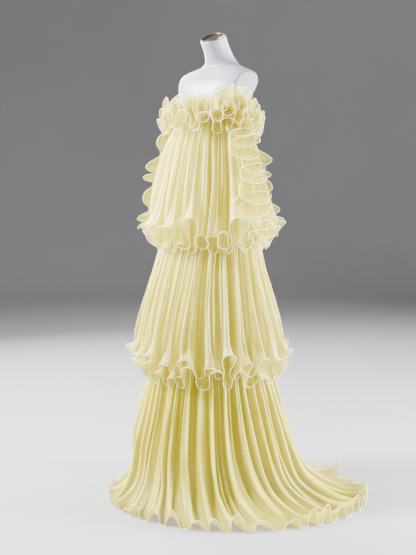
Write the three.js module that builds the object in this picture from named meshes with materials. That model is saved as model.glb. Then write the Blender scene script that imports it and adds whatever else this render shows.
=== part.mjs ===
// A strapless three-tier evening dress of sheer ruffled cloth, worn by a limbless dress form on a stand.
// Millimetres, +Z up. The form faces -Y, so the wearer's left is +X. The origin is on the floor under
// the pole.

import * as THREE from 'three';

const { degToRad, lerp } = THREE.MathUtils;
const TURN = 2 * Math.PI;

// Cloth
const WALL = 2; // thickness that stands for the light cloth
const SEAM = 0.3; // gap between two pieces that are sewn together
const STEP_OUT = WALL + SEAM; // how far a layer's outer face stands off the piece that carries it
const EASE = 0.6; // extra room where two rings have their corners in different places

// Panels run anticlockwise seen from above; the seams lie a little in front of the sides
const PANELS = {
  front: { from: degToRad(192), to: degToRad(348) },
  back: { from: degToRad(348), to: degToRad(552) },
};

// The form's torso and neck, as level sections that tilt with the neck towards its top
const TORSO_COLUMNS = 28;
const TORSO = [
  { z: 1010, width: 150, depth: 106, y: 12, power: 2, tilt: 0 },
  { z: 1080, width: 160, depth: 116, y: 12, power: 2, tilt: 0 },
  { z: 1180, width: 140, depth: 104, y: 8, power: 2, tilt: 0 },
  { z: 1290, width: 106, depth: 84, y: 6, power: 2, tilt: 0 },
  { z: 1400, width: 122, depth: 92, y: 0, power: 2, tilt: 0 },
  { z: 1480, width: 138, depth: 112, y: -8, power: 2, tilt: 0 },
  { z: 1550, width: 140, depth: 101, y: 2, power: 2, tilt: 0 },
  { z: 1585, width: 144, depth: 96, y: 13, power: 2.1, tilt: 0 },
  { z: 1610, width: 151, depth: 94, y: 23, power: 2.4, tilt: 0 },
  { z: 1640, width: 164, depth: 92, y: 34, power: 2.8, tilt: 0 },
  { z: 1672, width: 173, depth: 87, y: 43, power: 3, tilt: 0 },
  { z: 1697, width: 168, depth: 78, y: 51, power: 2.8, tilt: 0 },
  { z: 1714, width: 148, depth: 70, y: 57, power: 2.5, tilt: 0.02 },
  { z: 1727, width: 116, depth: 63, y: 62, power: 2.2, tilt: 0.04 },
  { z: 1740, width: 83, depth: 58, y: 66, power: 2, tilt: 0.08 },
  { z: 1756, width: 64, depth: 57, y: 64, power: 2, tilt: 0.15 },
  { z: 1780, width: 57, depth: 56, y: 52, power: 2, tilt: 0.26 },
  { z: 1810, width: 55, depth: 55, y: 35, power: 2, tilt: 0.38 },
  { z: 1845, width: 56, depth: 56, y: 13, power: 2, tilt: 0.466 },
];
// The shoulders' flat ends: half the distance between them, where it is measured, and their slant
const ARM_PLATE = { x: 156, y: 44, toeIn: Math.tan(degToRad(10)), from: 1590 };
const NECK_CAP = { radius: 54, rim: 5, thick: 3, rimHigh: 6 };

// The form's stand
const POLE = { radius: 16, sides: 16 };
const BASE = { radius: 180, thick: 10, edge: 4, collarRadius: 30, collarHigh: 40, sides: 40 };

// Bodice and underskirt, which carry the tiers
const BODICE = { from: 1080, to: 1585, offset: 0.5 };
const BODICE_FACE = BODICE.offset + WALL; // the bodice's outer face, out from the form
const UNDERSKIRT_COLUMNS = { front: 18, back: 22 };
const UNDERSKIRT = [
  { z: 1180, ...onForm(1180, BODICE_FACE + STEP_OUT + EASE) },
  { z: 1080, ...onForm(1080, BODICE_FACE + STEP_OUT + 3) },
  { z: 950, along: 174, across: 146, x: 0, y: 6 },
  { z: 760, along: 192, across: 192, x: 0, y: 0 },
  { z: 437, along: 234, across: 234, x: 4, y: 2 },
  { z: 60, along: 290, across: 290, x: 16, y: 8 },
];

// Tiers: along and across are half widths, pleat and wave are heights of the folds, and lift raises the
// wave's crests
const TIER_1 = {
  turn: 0,
  perPleat: 3,
  pleats: { front: 12, back: 16 },
  waves: { front: 5, back: 7 },
  rows: [
    { z: 1550, ...onForm(1550, BODICE_FACE + STEP_OUT), pleat: 1, wave: 0, lift: 0 },
    { z: 1525, along: 150, across: 114, x: 0, y: 0, pleat: 1.5, wave: 0, lift: 0 },
    { z: 1400, along: 184, across: 162, x: 0, y: 0, pleat: 5, wave: 0, lift: 0 },
    { z: 1210, along: 231, across: 208, x: 0, y: 0, pleat: 7, wave: 2, lift: 0 },
    { z: 1090, along: 256, across: 235, x: 0, y: 0, pleat: 5, wave: 12, lift: 10 },
    { z: 1050, along: 268, across: 246, x: 0, y: 0, pleat: 2, wave: 24, lift: 36 },
  ],
};
const TIER_2 = {
  turn: 0,
  perPleat: 3,
  pleats: { front: 11, back: 14 },
  waves: { front: 5, back: 7 },
  rows: [
    { z: 1160, ...onTable(UNDERSKIRT, 1160, STEP_OUT), pleat: 1.5, wave: 0, lift: 0 },
    { z: 1100, along: 182, across: 148, x: 0, y: 6, pleat: 4, wave: 0, lift: 0 },
    { z: 960, along: 217, across: 193, x: -3, y: -2, pleat: 6, wave: 0, lift: 0 },
    { z: 680, along: 286, across: 264, x: -7, y: -4, pleat: 10, wave: 4, lift: 0 },
    { z: 590, along: 314, across: 292, x: -3, y: -2, pleat: 7, wave: 16, lift: 12 },
    { z: 550, along: 326, across: 304, x: -2, y: -2, pleat: 3, wave: 28, lift: 40 },
  ],
};
const TIER_3 = {
  turn: degToRad(38), // the train sweeps back and to the wearer's left
  perPleat: 3,
  pleats: { front: 12, back: 16 },
  waves: { front: 7, back: 10 },
  rows: [
    { z: 760, ...onTable(UNDERSKIRT, 760, STEP_OUT), pleat: 1.5, wave: 0, lift: 0 },
    { z: 437, along: 262, across: 250, x: 5, y: 3, pleat: 9, wave: 0, lift: 0 },
    { z: 250, along: 310, across: 300, x: 11, y: 7, pleat: 11, wave: 0, lift: 0 },
    { z: 113, along: 354, across: 342, x: 28, y: 18, pleat: 10, wave: 4, lift: 0 },
    { z: 38, along: 430, across: 396, x: 56, y: 30, pleat: 7, wave: 6, lift: 6 },
    { z: WALL + 4, along: 496, across: 438, x: 84, y: 40, pleat: 0, wave: 8, lift: 18 },
    { z: WALL, along: 526, across: 456, x: 97, y: 44, pleat: 0, wave: 12, lift: 30 },
  ],
};
const INNER_1 = {
  turn: 0,
  perPleat: 4,
  pleats: { front: 5, back: 7 },
  waves: { front: 5, back: 7 },
  rows: [
    { z: 1480, ...onForm(1480, BODICE_FACE + STEP_OUT + EASE), pleat: 0, wave: 0, lift: 0 },
    { z: 1180, along: 206, across: 184, x: 0, y: 0, pleat: 0, wave: 0, lift: 0 },
    { z: 1048, along: 227, across: 205, x: 0, y: 0, pleat: 0, wave: 2, lift: 0 },
    { z: 1004, along: 241, across: 219, x: 0, y: 0, pleat: 0, wave: 13, lift: 16 },
  ],
};
const INNER_2 = {
  turn: 0,
  perPleat: 4,
  pleats: { front: 5, back: 7 },
  waves: { front: 5, back: 7 },
  rows: [
    { z: 1120, ...onTable(UNDERSKIRT, 1120, STEP_OUT + EASE), pleat: 0, wave: 0, lift: 0 },
    { z: 1070, along: 176, across: 138, x: 0, y: 9, pleat: 0, wave: 0, lift: 0 },
    { z: 700, along: 250, across: 232, x: 0, y: 0, pleat: 0, wave: 0, lift: 0 },
    { z: 545, along: 281, across: 265, x: 0, y: 0, pleat: 0, wave: 2, lift: 0 },
    { z: 485, along: 300, across: 285, x: 0, y: 0, pleat: 0, wave: 16, lift: 16 },
  ],
};
const MEANDER = 0.35; // how far a wave's flanks lean over, as a share of a plain wave

// Neckline ruffles: reach is outwards and rise upwards from the root to the free edge
const NECK_UPPER = {
  perPleat: 4,
  waves: { front: 5, back: 7 },
  root: () => ({ z: 1572, ...onForm(1572, BODICE_FACE + STEP_OUT) }),
  power: 2.1,
  rows: [
    { share: 0, wave: 0 },
    { share: 0.5, wave: 5 },
    { share: 1, wave: 13 },
  ],
  reach: 50,
  rise: 40,
};
const NECK_LOWER = {
  perPleat: 4,
  waves: { front: 6, back: 8 },
  root: () => ({ z: 1540, ...onTable(TIER_1.rows, 1540, STEP_OUT + 2 + EASE) }),
  power: 2,
  rows: [
    { share: 0, wave: 0 },
    { share: 0.45, wave: 7 },
    { share: 1, wave: 17 },
  ],
  reach: 62,
  rise: -76,
};

// Side cascades: a ruffle that stands forwards and one that stands backwards on each seam of the top tier
const CASCADE = {
  top: 1425,
  bottom: 1092,
  waves: 7,
  perWave: 4,
  rows: [
    { share: 0, wave: 0 },
    { share: 0.5, wave: 6 },
    { share: 1, wave: 15 },
  ],
  fore: { reach: 100, splay: degToRad(85) },
  aft: { reach: 92, splay: degToRad(50) },
  droop: 12,
  endDroop: 48,
  apart: 0.4,
};

const CLOTH = new THREE.MeshStandardMaterial({ color: 0xf7f0b4, roughness: 0.7, metalness: 0 });
const UNDERCLOTH = new THREE.MeshStandardMaterial({ color: 0xf0e27a, roughness: 0.75, metalness: 0 });
const SHELL = new THREE.MeshStandardMaterial({ color: 0xe9eaef, roughness: 0.4, metalness: 0 });
const METAL = new THREE.MeshStandardMaterial({ color: 0x8a8078, roughness: 0.3, metalness: 1 });

// A table's row at height z, each value on a straight line between the two rows around it
function rowAt(table, z) {
  const rows = [...table].sort((a, b) => a.z - b.z);
  const above = Math.max(1, rows.findIndex((row) => row.z >= z));
  const [low, high] = [rows[above - 1], rows[above]];
  const share = (z - low.z) / (high.z - low.z);
  return Object.fromEntries(Object.keys(low).map((key) => [key, lerp(low[key], high[key], share)]));
}

// The form's section at height z, moved out
function onForm(z, out) {
  const { width, depth, y } = rowAt(TORSO, z);
  return { along: width + out, across: depth + out, x: 0, y };
}

// A cloth table's section at height z, moved out
function onTable(table, z, out) {
  const { along, across, x, y } = rowAt(table, z);
  return { along: along + out, across: across + out, x, y };
}

// A point at an angle on an oval section; the oval's long side lies at the turn
function onOval({ z, along, across, x, y }, angle, out = 0, turn = 0, power = 2) {
  const soften = (value) => Math.sign(value) * Math.abs(value) ** (2 / power);
  const local = new THREE.Vector3(
    (along + out) * soften(Math.cos(angle - turn)),
    (across + out) * soften(Math.sin(angle - turn)),
    0,
  );
  return local.applyAxisAngle(new THREE.Vector3(0, 0, 1), turn).add(new THREE.Vector3(x, y, z));
}

// Folds are spaced unevenly along a panel, but both ends stay on the seams
function uneven(share) {
  return share + 0.011 * Math.sin(5 * Math.PI * share) - 0.006 * Math.sin(11 * Math.PI * share);
}

// The columns round a piece made of a front and a back panel
function columnsOf({ perPleat, pleats, waves }) {
  return Object.entries(PANELS).flatMap(([panel, { from, to }]) => {
    const count = pleats[panel] * perPleat;
    return Array.from({ length: count }, (_, i) => ({
      angle: lerp(from, to, uneven(i / count)),
      spacing: (to - from) / count,
      pleat: (TURN * i) / perPleat,
      wave: TURN * waves[panel] * (i / count),
      perWave: count / waves[panel],
    }));
  });
}

// The first and last column of a panel, in a ring's own count
function span(panel, { pleats, perPleat }) {
  const front = pleats.front * perPleat;
  return panel === 'front' ? [0, front] : [front, front + pleats.back * perPleat];
}

// A tier's outer face at a row and column: an oval with pleats, and waves that grow towards the hem
function tierFace(tier) {
  const columns = columnsOf(tier);
  return (rowIndex, columnIndex) => {
    const row = tier.rows[rowIndex];
    const column = columns[(columnIndex + columns.length) % columns.length];
    const pleat = row.pleat * (0.5 + Math.cos(column.pleat));
    const wave = row.wave * Math.cos(column.wave);
    const wavelength = column.perWave * column.spacing;
    const lean = row.wave ? (MEANDER * Math.sin(2 * column.wave) * wavelength) / TURN : 0;
    const point = onOval(row, column.angle + lean, pleat + wave, tier.turn);
    point.z += (row.lift * (1 + Math.cos(column.wave))) / 2;
    return point;
  };
}

// A neckline ruffle's outer face: a strip that stands off its root, with waves across the strip
function neckFace(ruffle) {
  const columns = columnsOf({ ...ruffle, pleats: ruffle.waves });
  const root = ruffle.root();
  const length = Math.hypot(ruffle.reach, ruffle.rise);
  return (rowIndex, columnIndex) => {
    const { share, wave } = ruffle.rows[rowIndex];
    const column = columns[(columnIndex + columns.length) % columns.length];
    const swing = wave * Math.cos(column.wave);
    const out = ruffle.reach * share - (swing * ruffle.rise) / length;
    const point = onOval(root, column.angle, out, 0, ruffle.power);
    point.z += ruffle.rise * share + (swing * ruffle.reach) / length;
    return point;
  };
}

// A side cascade's face: side is 1 on the wearer's left, and way is 1 for the forward ruffle
function cascadeFace(side, way) {
  const { reach, splay } = way > 0 ? CASCADE.fore : CASCADE.aft;
  const seam = side > 0 ? PANELS.back.from : PANELS.front.from;
  const steps = CASCADE.waves * CASCADE.perWave;
  const rootAt = (share) => {
    const z = lerp(CASCADE.top, CASCADE.bottom, share);
    const row = rowAt(TIER_1.rows, z);
    const root = onOval({ ...row, z }, seam, 1.5 * row.pleat + row.wave + STEP_OUT);
    root.z += row.lift;
    return root;
  };
  return (rowIndex, columnIndex) => {
    const { share, wave } = CASCADE.rows[rowIndex];
    const along = THREE.MathUtils.clamp(columnIndex / steps, -1, 2);
    const root = rootAt(THREE.MathUtils.clamp(along, 0, 1));
    root.z -= (along - THREE.MathUtils.clamp(along, 0, 1)) * (CASCADE.top - CASCADE.bottom);
    const out = new THREE.Vector3(Math.cos(seam), Math.sin(seam), 0.25).normalize();
    const forward = new THREE.Vector3(Math.sin(seam) * side, -Math.cos(seam) * side, 0).multiplyScalar(way);
    const swing = wave * Math.cos((TURN * columnIndex) / CASCADE.perWave);
    return root
      .addScaledVector(forward, CASCADE.apart / 2)
      .addScaledVector(out, reach * share * Math.cos(splay) + swing * Math.sin(splay))
      .addScaledVector(forward, reach * share * Math.sin(splay) - swing * Math.cos(splay))
      .add(new THREE.Vector3(0, 0, -share * (CASCADE.droop + CASCADE.endDroop * along ** 3)));
  };
}

// The bodice's two faces, made from the form's own points moved out
function bodiceFaces() {
  const rows = TORSO.filter(({ z }) => z >= BODICE.from && z <= BODICE.to);
  const faceAt = (out) => (rowIndex, columnIndex) =>
    torsoPoint(rows[rowIndex], (TURN * columnIndex) / TORSO_COLUMNS, out);
  return { face: faceAt(BODICE_FACE), inside: faceAt(BODICE.offset), rowCount: rows.length };
}

// A point on the form, with the shoulders cut flat at the arm plates
function torsoPoint(row, angle, out = 0) {
  const point = onOval({ ...row, along: row.width, across: row.depth, x: 0 }, angle, out, 0, row.power);
  const plate = ARM_PLATE.x + out + (point.y - ARM_PLATE.y) * ARM_PLATE.toeIn;
  if (row.z >= ARM_PLATE.from) point.x = THREE.MathUtils.clamp(point.x, -plate, plate);
  point.z += (point.y - row.y) * row.tilt;
  return point;
}

// A cloth wall: the outer face's grid and the same grid moved in along its normals, joined all round
function clothWall(face, rowCount, [first, last], options = {}) {
  const { floor = -Infinity, trim = SEAM / 2, flip = 1, inside } = options;
  const outer = [];
  const inner = [];
  for (let r = 0; r < rowCount; r += 1) {
    outer.push([]);
    inner.push([]);
    for (let c = first; c <= last; c += 1) {
      const point = face(r, c);
      const across = face(r, c + 1).sub(face(r, c - 1));
      const down = face(Math.min(r + 1, rowCount - 1), c).sub(face(Math.max(r - 1, 0), c));
      const normal = down.cross(across).normalize().multiplyScalar(flip);
      const within = inside ? inside(r, c) : point.clone().addScaledVector(normal, -WALL);
      if (c === first || c === last) {
        const shift = across.normalize().multiplyScalar(c === first ? trim : -trim);
        point.add(shift);
        within.add(shift);
      }
      within.z = Math.max(floor, within.z);
      outer[r].push(point);
      inner[r].push(within);
    }
  }
  return shellGeometry(outer, inner);
}

// Joins two grids of points into one closed body
function shellGeometry(outer, inner) {
  const [rowCount, columnCount] = [outer.length, outer[0].length];
  const points = [...outer.flat(), ...inner.flat()];
  const at = (layer, r, c) => layer * rowCount * columnCount + r * columnCount + c;
  const index = [];
  const quad = (a, b, c, d) => index.push(a, b, c, a, c, d);
  for (let r = 0; r < rowCount - 1; r += 1) {
    for (let c = 0; c < columnCount - 1; c += 1) {
      quad(at(0, r, c), at(0, r + 1, c), at(0, r + 1, c + 1), at(0, r, c + 1));
      quad(at(1, r, c), at(1, r, c + 1), at(1, r + 1, c + 1), at(1, r + 1, c));
    }
    const end = columnCount - 1;
    quad(at(0, r, 0), at(1, r, 0), at(1, r + 1, 0), at(0, r + 1, 0));
    quad(at(0, r, end), at(0, r + 1, end), at(1, r + 1, end), at(1, r, end));
  }
  for (let c = 0; c < columnCount - 1; c += 1) {
    const end = rowCount - 1;
    quad(at(0, 0, c), at(0, 0, c + 1), at(1, 0, c + 1), at(1, 0, c));
    quad(at(0, end, c), at(1, end, c), at(1, end, c + 1), at(0, end, c + 1));
  }
  return solidGeometry(points, index);
}

// A closed geometry whose faces point out
function solidGeometry(points, index) {
  const geometry = new THREE.BufferGeometry().setFromPoints(points);
  let volume = 0;
  for (let i = 0; i < index.length; i += 3) {
    const [a, b, c] = [points[index[i]], points[index[i + 1]], points[index[i + 2]]];
    volume += a.dot(b.clone().cross(c));
  }
  geometry.setIndex(volume > 0 ? index : index.reverse());
  geometry.computeVertexNormals();
  return geometry;
}

// A solid through closed rings of points, with flat ends
function loftGeometry(rings) {
  const count = rings[0].length;
  const centre = (ring) =>
    ring.reduce((sum, point) => sum.add(point), new THREE.Vector3()).divideScalar(count);
  const points = [...rings.flat(), centre(rings[0]), centre(rings[rings.length - 1])];
  const [bottom, top] = [points.length - 2, points.length - 1];
  const lastRing = (rings.length - 1) * count;
  const index = [];
  for (let c = 0; c < count; c += 1) {
    const next = (c + 1) % count;
    for (let r = 0; r < lastRing; r += count) {
      index.push(r + c, r + next, r + count + next, r + c, r + count + next, r + count + c);
    }
    index.push(bottom, next, c, top, lastRing + c, lastRing + next);
  }
  return solidGeometry(points, index);
}

const dress = new THREE.Group();

function addPiece(name, geometry, material, parent = dress) {
  const mesh = new THREE.Mesh(geometry, material);
  mesh.name = name;
  parent.add(mesh);
  return mesh;
}

// The form: torso with its neck, neck cap, pole and base
function addForm() {
  const form = new THREE.Group();
  const rings = TORSO.map((row) =>
    Array.from({ length: TORSO_COLUMNS }, (_, i) => torsoPoint(row, (TURN * i) / TORSO_COLUMNS)),
  );
  addPiece('form_torso', loftGeometry(rings), SHELL, form);

  const { radius, rim, thick, rimHigh } = NECK_CAP;
  const inner = radius - rim;
  const profile = [[0, 0], [radius, 0], [radius, rimHigh], [inner, rimHigh], [inner, thick], [0, thick]];
  const capGeometry = new THREE.LatheGeometry(profile.map(([x, y]) => new THREE.Vector2(x, y)), 28);
  const cap = addPiece('form_neck_cap', capGeometry, METAL, form);
  const neckTop = TORSO[TORSO.length - 1];
  const tilt = Math.atan(neckTop.tilt);
  cap.rotation.x = Math.PI / 2 + tilt;
  cap.position.set(0, neckTop.y - SEAM * Math.sin(tilt), neckTop.z + SEAM * Math.cos(tilt));

  const poleFrom = BASE.collarHigh + SEAM;
  const poleHigh = TORSO[0].z - SEAM - poleFrom;
  const poleGeometry = new THREE.CylinderGeometry(POLE.radius, POLE.radius, poleHigh, POLE.sides);
  const pole = addPiece('form_pole', poleGeometry, METAL, form);
  pole.rotation.x = Math.PI / 2;
  pole.position.z = poleFrom + poleHigh / 2;

  const foot = [
    [0, 0], [BASE.radius, 0], [BASE.radius, BASE.thick - BASE.edge], [BASE.radius - BASE.edge, BASE.thick],
    [BASE.collarRadius, BASE.thick], [BASE.collarRadius, BASE.collarHigh], [0, BASE.collarHigh],
  ];
  const baseGeometry = new THREE.LatheGeometry(foot.map(([x, y]) => new THREE.Vector2(x, y)), BASE.sides);
  const base = addPiece('form_base', baseGeometry, METAL, form);
  base.rotation.x = Math.PI / 2;
  dress.add(form);
}

// The strapless bodice that lies on the form
function addBodice() {
  const { face, inside, rowCount } = bodiceFaces();
  const half = TORSO_COLUMNS / 2;
  addPiece('bodice_front', clothWall(face, rowCount, [half, TORSO_COLUMNS], { inside }), UNDERCLOTH);
  addPiece('bodice_back', clothWall(face, rowCount, [0, half], { inside }), UNDERCLOTH);
}

// The plain underskirt that carries the second and third tier
function addUnderskirt() {
  const plain = { pleat: 0, wave: 0, lift: 0 };
  const skirt = {
    turn: 0,
    perPleat: 1,
    pleats: UNDERSKIRT_COLUMNS,
    waves: { front: 1, back: 1 },
    rows: UNDERSKIRT.map((row) => ({ ...row, ...plain })),
  };
  addPanels('underskirt', skirt, tierFace(skirt), skirt.rows.length, UNDERCLOTH);
}

// Front and back panel of one layer
function addPanels(name, layer, face, rowCount, material, options) {
  for (const panel of Object.keys(PANELS)) {
    addPiece(`${name}_${panel}`, clothWall(face, rowCount, span(panel, layer), options), material);
  }
}

// The tiers, each with a ruffled hem, and the inner layers whose hems show below them
function addTiers() {
  addPanels('tier_1', TIER_1, tierFace(TIER_1), TIER_1.rows.length, CLOTH);
  addPanels('tier_1_inner', INNER_1, tierFace(INNER_1), INNER_1.rows.length, CLOTH);
  addPanels('tier_2', TIER_2, tierFace(TIER_2), TIER_2.rows.length, CLOTH);
  addPanels('tier_2_inner', INNER_2, tierFace(INNER_2), INNER_2.rows.length, CLOTH);
  addPanels('tier_3', TIER_3, tierFace(TIER_3), TIER_3.rows.length, CLOTH, { floor: 0 });
}

// The ruffles round the neckline
function addNeckRuffles() {
  for (const [name, ruffle, flip] of [['upper', NECK_UPPER, -1], ['lower', NECK_LOWER, 1]]) {
    const layer = { ...ruffle, pleats: ruffle.waves };
    addPanels(`neck_ruffle_${name}`, layer, neckFace(ruffle), ruffle.rows.length, CLOTH, { flip });
  }
}

// The ruffle cascades down both seams of the top tier
function addCascades() {
  const steps = CASCADE.waves * CASCADE.perWave;
  for (const [sideName, side] of [['left', 1], ['right', -1]]) {
    for (const [wayName, way] of [['fore', 1], ['aft', -1]]) {
      const face = cascadeFace(side, way);
      const wall = clothWall(face, CASCADE.rows.length, [0, steps], { trim: 0, flip: side * way });
      addPiece(`cascade_${sideName}_${wayName}`, wall, CLOTH);
    }
  }
}

addForm();
addBodice();
addUnderskirt();
addTiers();
addNeckRuffles();
addCascades();

export default dress;
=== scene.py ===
"""A strapless three-tier evening dress of sheer ruffled cloth, on a limbless dress form."""

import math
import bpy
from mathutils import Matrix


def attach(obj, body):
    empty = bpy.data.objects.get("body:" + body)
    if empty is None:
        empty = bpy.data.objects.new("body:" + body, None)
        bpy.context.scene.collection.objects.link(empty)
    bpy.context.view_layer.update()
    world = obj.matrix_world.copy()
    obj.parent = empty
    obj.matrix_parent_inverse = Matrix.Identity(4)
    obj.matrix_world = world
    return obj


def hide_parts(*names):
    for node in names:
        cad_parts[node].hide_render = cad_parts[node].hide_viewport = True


bl_info = {
    "name": "Tiered Evening Dress",
    "version": (1, 0, 0),
    "blender": (4, 5, 0),
    "location": "3D View > Sidebar > Dress",
    "description": "Builds a tiered evening dress of sheer ruffled cloth on a dress form",
    "category": "Add Mesh",
}

import bpy
import numpy as np
from bpy.props import FloatProperty, FloatVectorProperty, PointerProperty

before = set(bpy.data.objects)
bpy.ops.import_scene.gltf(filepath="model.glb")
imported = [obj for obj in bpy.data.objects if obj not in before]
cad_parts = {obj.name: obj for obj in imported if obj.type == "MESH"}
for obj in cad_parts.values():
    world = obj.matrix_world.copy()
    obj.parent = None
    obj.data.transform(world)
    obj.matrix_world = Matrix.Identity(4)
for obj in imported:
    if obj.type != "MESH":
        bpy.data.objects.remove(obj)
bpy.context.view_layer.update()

TURN = 2 * math.pi
MM = 0.001

# Sizes in these tables are in millimetres, as a pattern cutter writes them.

# The side seams, as angles seen from above, anticlockwise from the wearer's left
PANELS = {"front": (192, 348), "back": (348, 552)}

# The form's level sections: height, half width, half depth, centre's y, squareness, tilt
TORSO = (
    (1010, 150, 106, 12, 2.0, 0),
    (1080, 160, 116, 12, 2.0, 0),
    (1180, 140, 104, 8, 2.0, 0),
    (1290, 106, 84, 6, 2.0, 0),
    (1400, 122, 92, 0, 2.0, 0),
    (1480, 138, 112, -8, 2.0, 0),
    (1550, 140, 101, 2, 2.0, 0),
    (1585, 144, 96, 13, 2.1, 0),
    (1610, 151, 94, 23, 2.4, 0),
    (1640, 164, 92, 34, 2.8, 0),
    (1672, 173, 87, 43, 3.0, 0),
    (1697, 168, 78, 51, 2.8, 0),
    (1714, 148, 70, 57, 2.5, 0.02),
    (1727, 116, 63, 62, 2.2, 0.04),
    (1740, 83, 58, 66, 2.0, 0.08),
    (1756, 66, 58, 63, 2.0, 0.15),
    (1780, 54, 54, 50, 2.0, 0.26),
    (1810, 50, 50, 33, 2.0, 0.38),
    (1845, 49, 49, 13, 2.0, 0.466),
)
ARM_PLATE = {"x": 156, "y": 44, "toe_in": math.tan(math.radians(10)), "from": 1590}


def smooth_rows(table, stops, at):
    """The columns of a table, read smoothly between its rows and without overshoot."""
    table = np.asarray(table, float)
    stops = np.asarray(stops, float)
    step = np.diff(stops)[:, None]
    slope = np.diff(table, axis=0) / step
    lean = np.zeros_like(table)
    before, after = slope[:-1], slope[1:]
    same_way = before * after > 0
    total = np.where(same_way, before + after, 1)
    lean[1:-1] = np.where(same_way, 2 * before * after / total, 0)
    lean[0], lean[-1] = slope[0], slope[-1]
    row = np.clip(np.searchsorted(stops, at) - 1, 0, len(stops) - 2)
    width = (stops[row + 1] - stops[row])[:, None]
    t = (at - stops[row])[:, None] / width
    return (
        table[row] * (1 + 2 * t) * (1 - t) ** 2
        + lean[row] * width * t * (1 - t) ** 2
        + table[row + 1] * t * t * (3 - 2 * t)
        + lean[row + 1] * width * t * t * (t - 1)
    )


def form_section(height):
    """Half width, half depth, centre's y, squareness and tilt of the form at each height."""
    heights = [row[0] for row in TORSO]
    rows = [row[1:] for row in TORSO]
    return smooth_rows(rows, heights, np.atleast_1d(np.asarray(height, float)))


def on_form(height, out):
    """A skirt row's height, half width, half depth, centre's x and y, close round the form."""
    width, depth, y = form_section(height)[0][:3]
    return (height, width + out, depth + out, 0, y)


def on_skirt(skirt, height, out):
    """The same, close round another skirt."""
    rows = skirt["rows"][::-1]
    found = smooth_rows([row[:5] for row in rows], [row[0] for row in rows], np.array([float(height)]))[0]
    return (height, found[1] + out, found[2] + out, found[3], found[4])


# Each skirt row: height, half width, half depth, centre's x and y, then the depth of the fine gathers, of the
# pleats and of the hem flutes, and how far a flute lifts the hem. After the rows: how many degrees the ovals are
# turned by, how many gathers and pleats there are, how far a flute bulges over its own sides, and the length of
# the clearer band above the hem where it isn't RIM
UNDERSKIRT = {
    "rows": (
        (*on_form(1180, 5.4), 0, 0, 0, 0),
        (*on_form(1080, 7.8), 0, 1, 0, 0),
        (950, 174, 146, 0, 6, 0, 3, 0, 0),
        (760, 192, 192, 0, 0, 0, 4, 0, 0),
        (437, 234, 234, 4, 2, 0, 6, 0, 0),
        (60, 290, 290, 16, 8, 0, 9, 6, 34),
    ),
    "turn": 0,
    "gathers": 40,
    "pleats": 24,
    "overhang": 0.5,
    "rim": 150,
}
TIER_1 = {
    "rows": (
        (*on_form(1550, 4.8), 0.8, 0.6, 0, 0),
        (1525, 150, 114, 0, 0, 3.2, 1.5, 0, 0),
        (1400, 184, 162, 0, 0, 4.2, 7, 1, 0),
        (1210, 229, 206, 0, 0, 3.4, 9, 7, 4),
        (1082, 248, 227, 0, 0, 1.4, 5, 19, 36),
        (1036, 257, 235, 0, 0, 0.8, 3, 29, 62),
    ),
    "turn": 0,
    "gathers": 96,
    "pleats": 40,
    "overhang": 1.3,
}
TIER_2 = {
    "rows": (
        (*on_skirt(UNDERSKIRT, 1160, 2.3), 0.8, 1, 0, 0),
        (1100, 182, 148, 0, 6, 3.2, 3, 0, 0),
        (960, 217, 193, -3, -2, 4.2, 8, 2, 0),
        (680, 284, 262, -7, -4, 3.4, 11, 9, 4),
        (586, 296, 274, -3, -2, 1.4, 5, 20, 34),
        (541, 302, 281, -2, -2, 0.8, 3, 30, 60),
    ),
    "turn": 0,
    "gathers": 104,
    "pleats": 44,
    "overhang": 1.15,
}
TIER_3 = {
    "rows": (
        (*on_skirt(UNDERSKIRT, 760, 2.3), 0.8, 1, 0, 0),
        (437, 262, 250, 5, 3, 4.0, 10, 3, 0),
        (250, 310, 300, 11, 7, 3.4, 13, 6, 0),
        (113, 354, 342, 28, 18, 2.4, 14, 1, 0),
        (38, 430, 396, 60, 30, 1.6, 10, 5, 3),
        (6, 497, 439, 91, 40, 0.8, 5, 11, 10),
        (2, 525, 455, 105, 44, 0.4, 3, 17, 21),
    ),
    "turn": 38,
    "gathers": 104,
    "pleats": 46,
    "overhang": 0.25,
}
INNER_1 = {
    "rows": (
        (*on_form(1480, 5.4), 0.5, 1, 0, 0),
        (1180, 203, 181, 0, 0, 1.2, 4, 3, 0),
        (1056, 219, 197, 0, 0, 0.9, 3, 10, 16),
        (1014, 231, 209, 0, 0, 0.6, 2, 20, 42),
    ),
    "turn": 0,
    "gathers": 60,
    "pleats": 24,
    "overhang": 0.5,
}
INNER_2 = {
    "rows": (
        (*on_skirt(UNDERSKIRT, 1120, 2.9), 0.5, 0.5, 0, 0),
        (1070, 176, 138, 0, 9, 0.8, 2, 0, 0),
        (700, 248, 230, 0, 0, 1.2, 5, 4, 0),
        (552, 272, 256, 0, 0, 0.9, 3, 11, 16),
        (498, 290, 275, 0, 0, 0.6, 2, 22, 44),
    ),
    "turn": 0,
    "gathers": 60,
    "pleats": 26,
    "overhang": 0.5,
}


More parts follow.
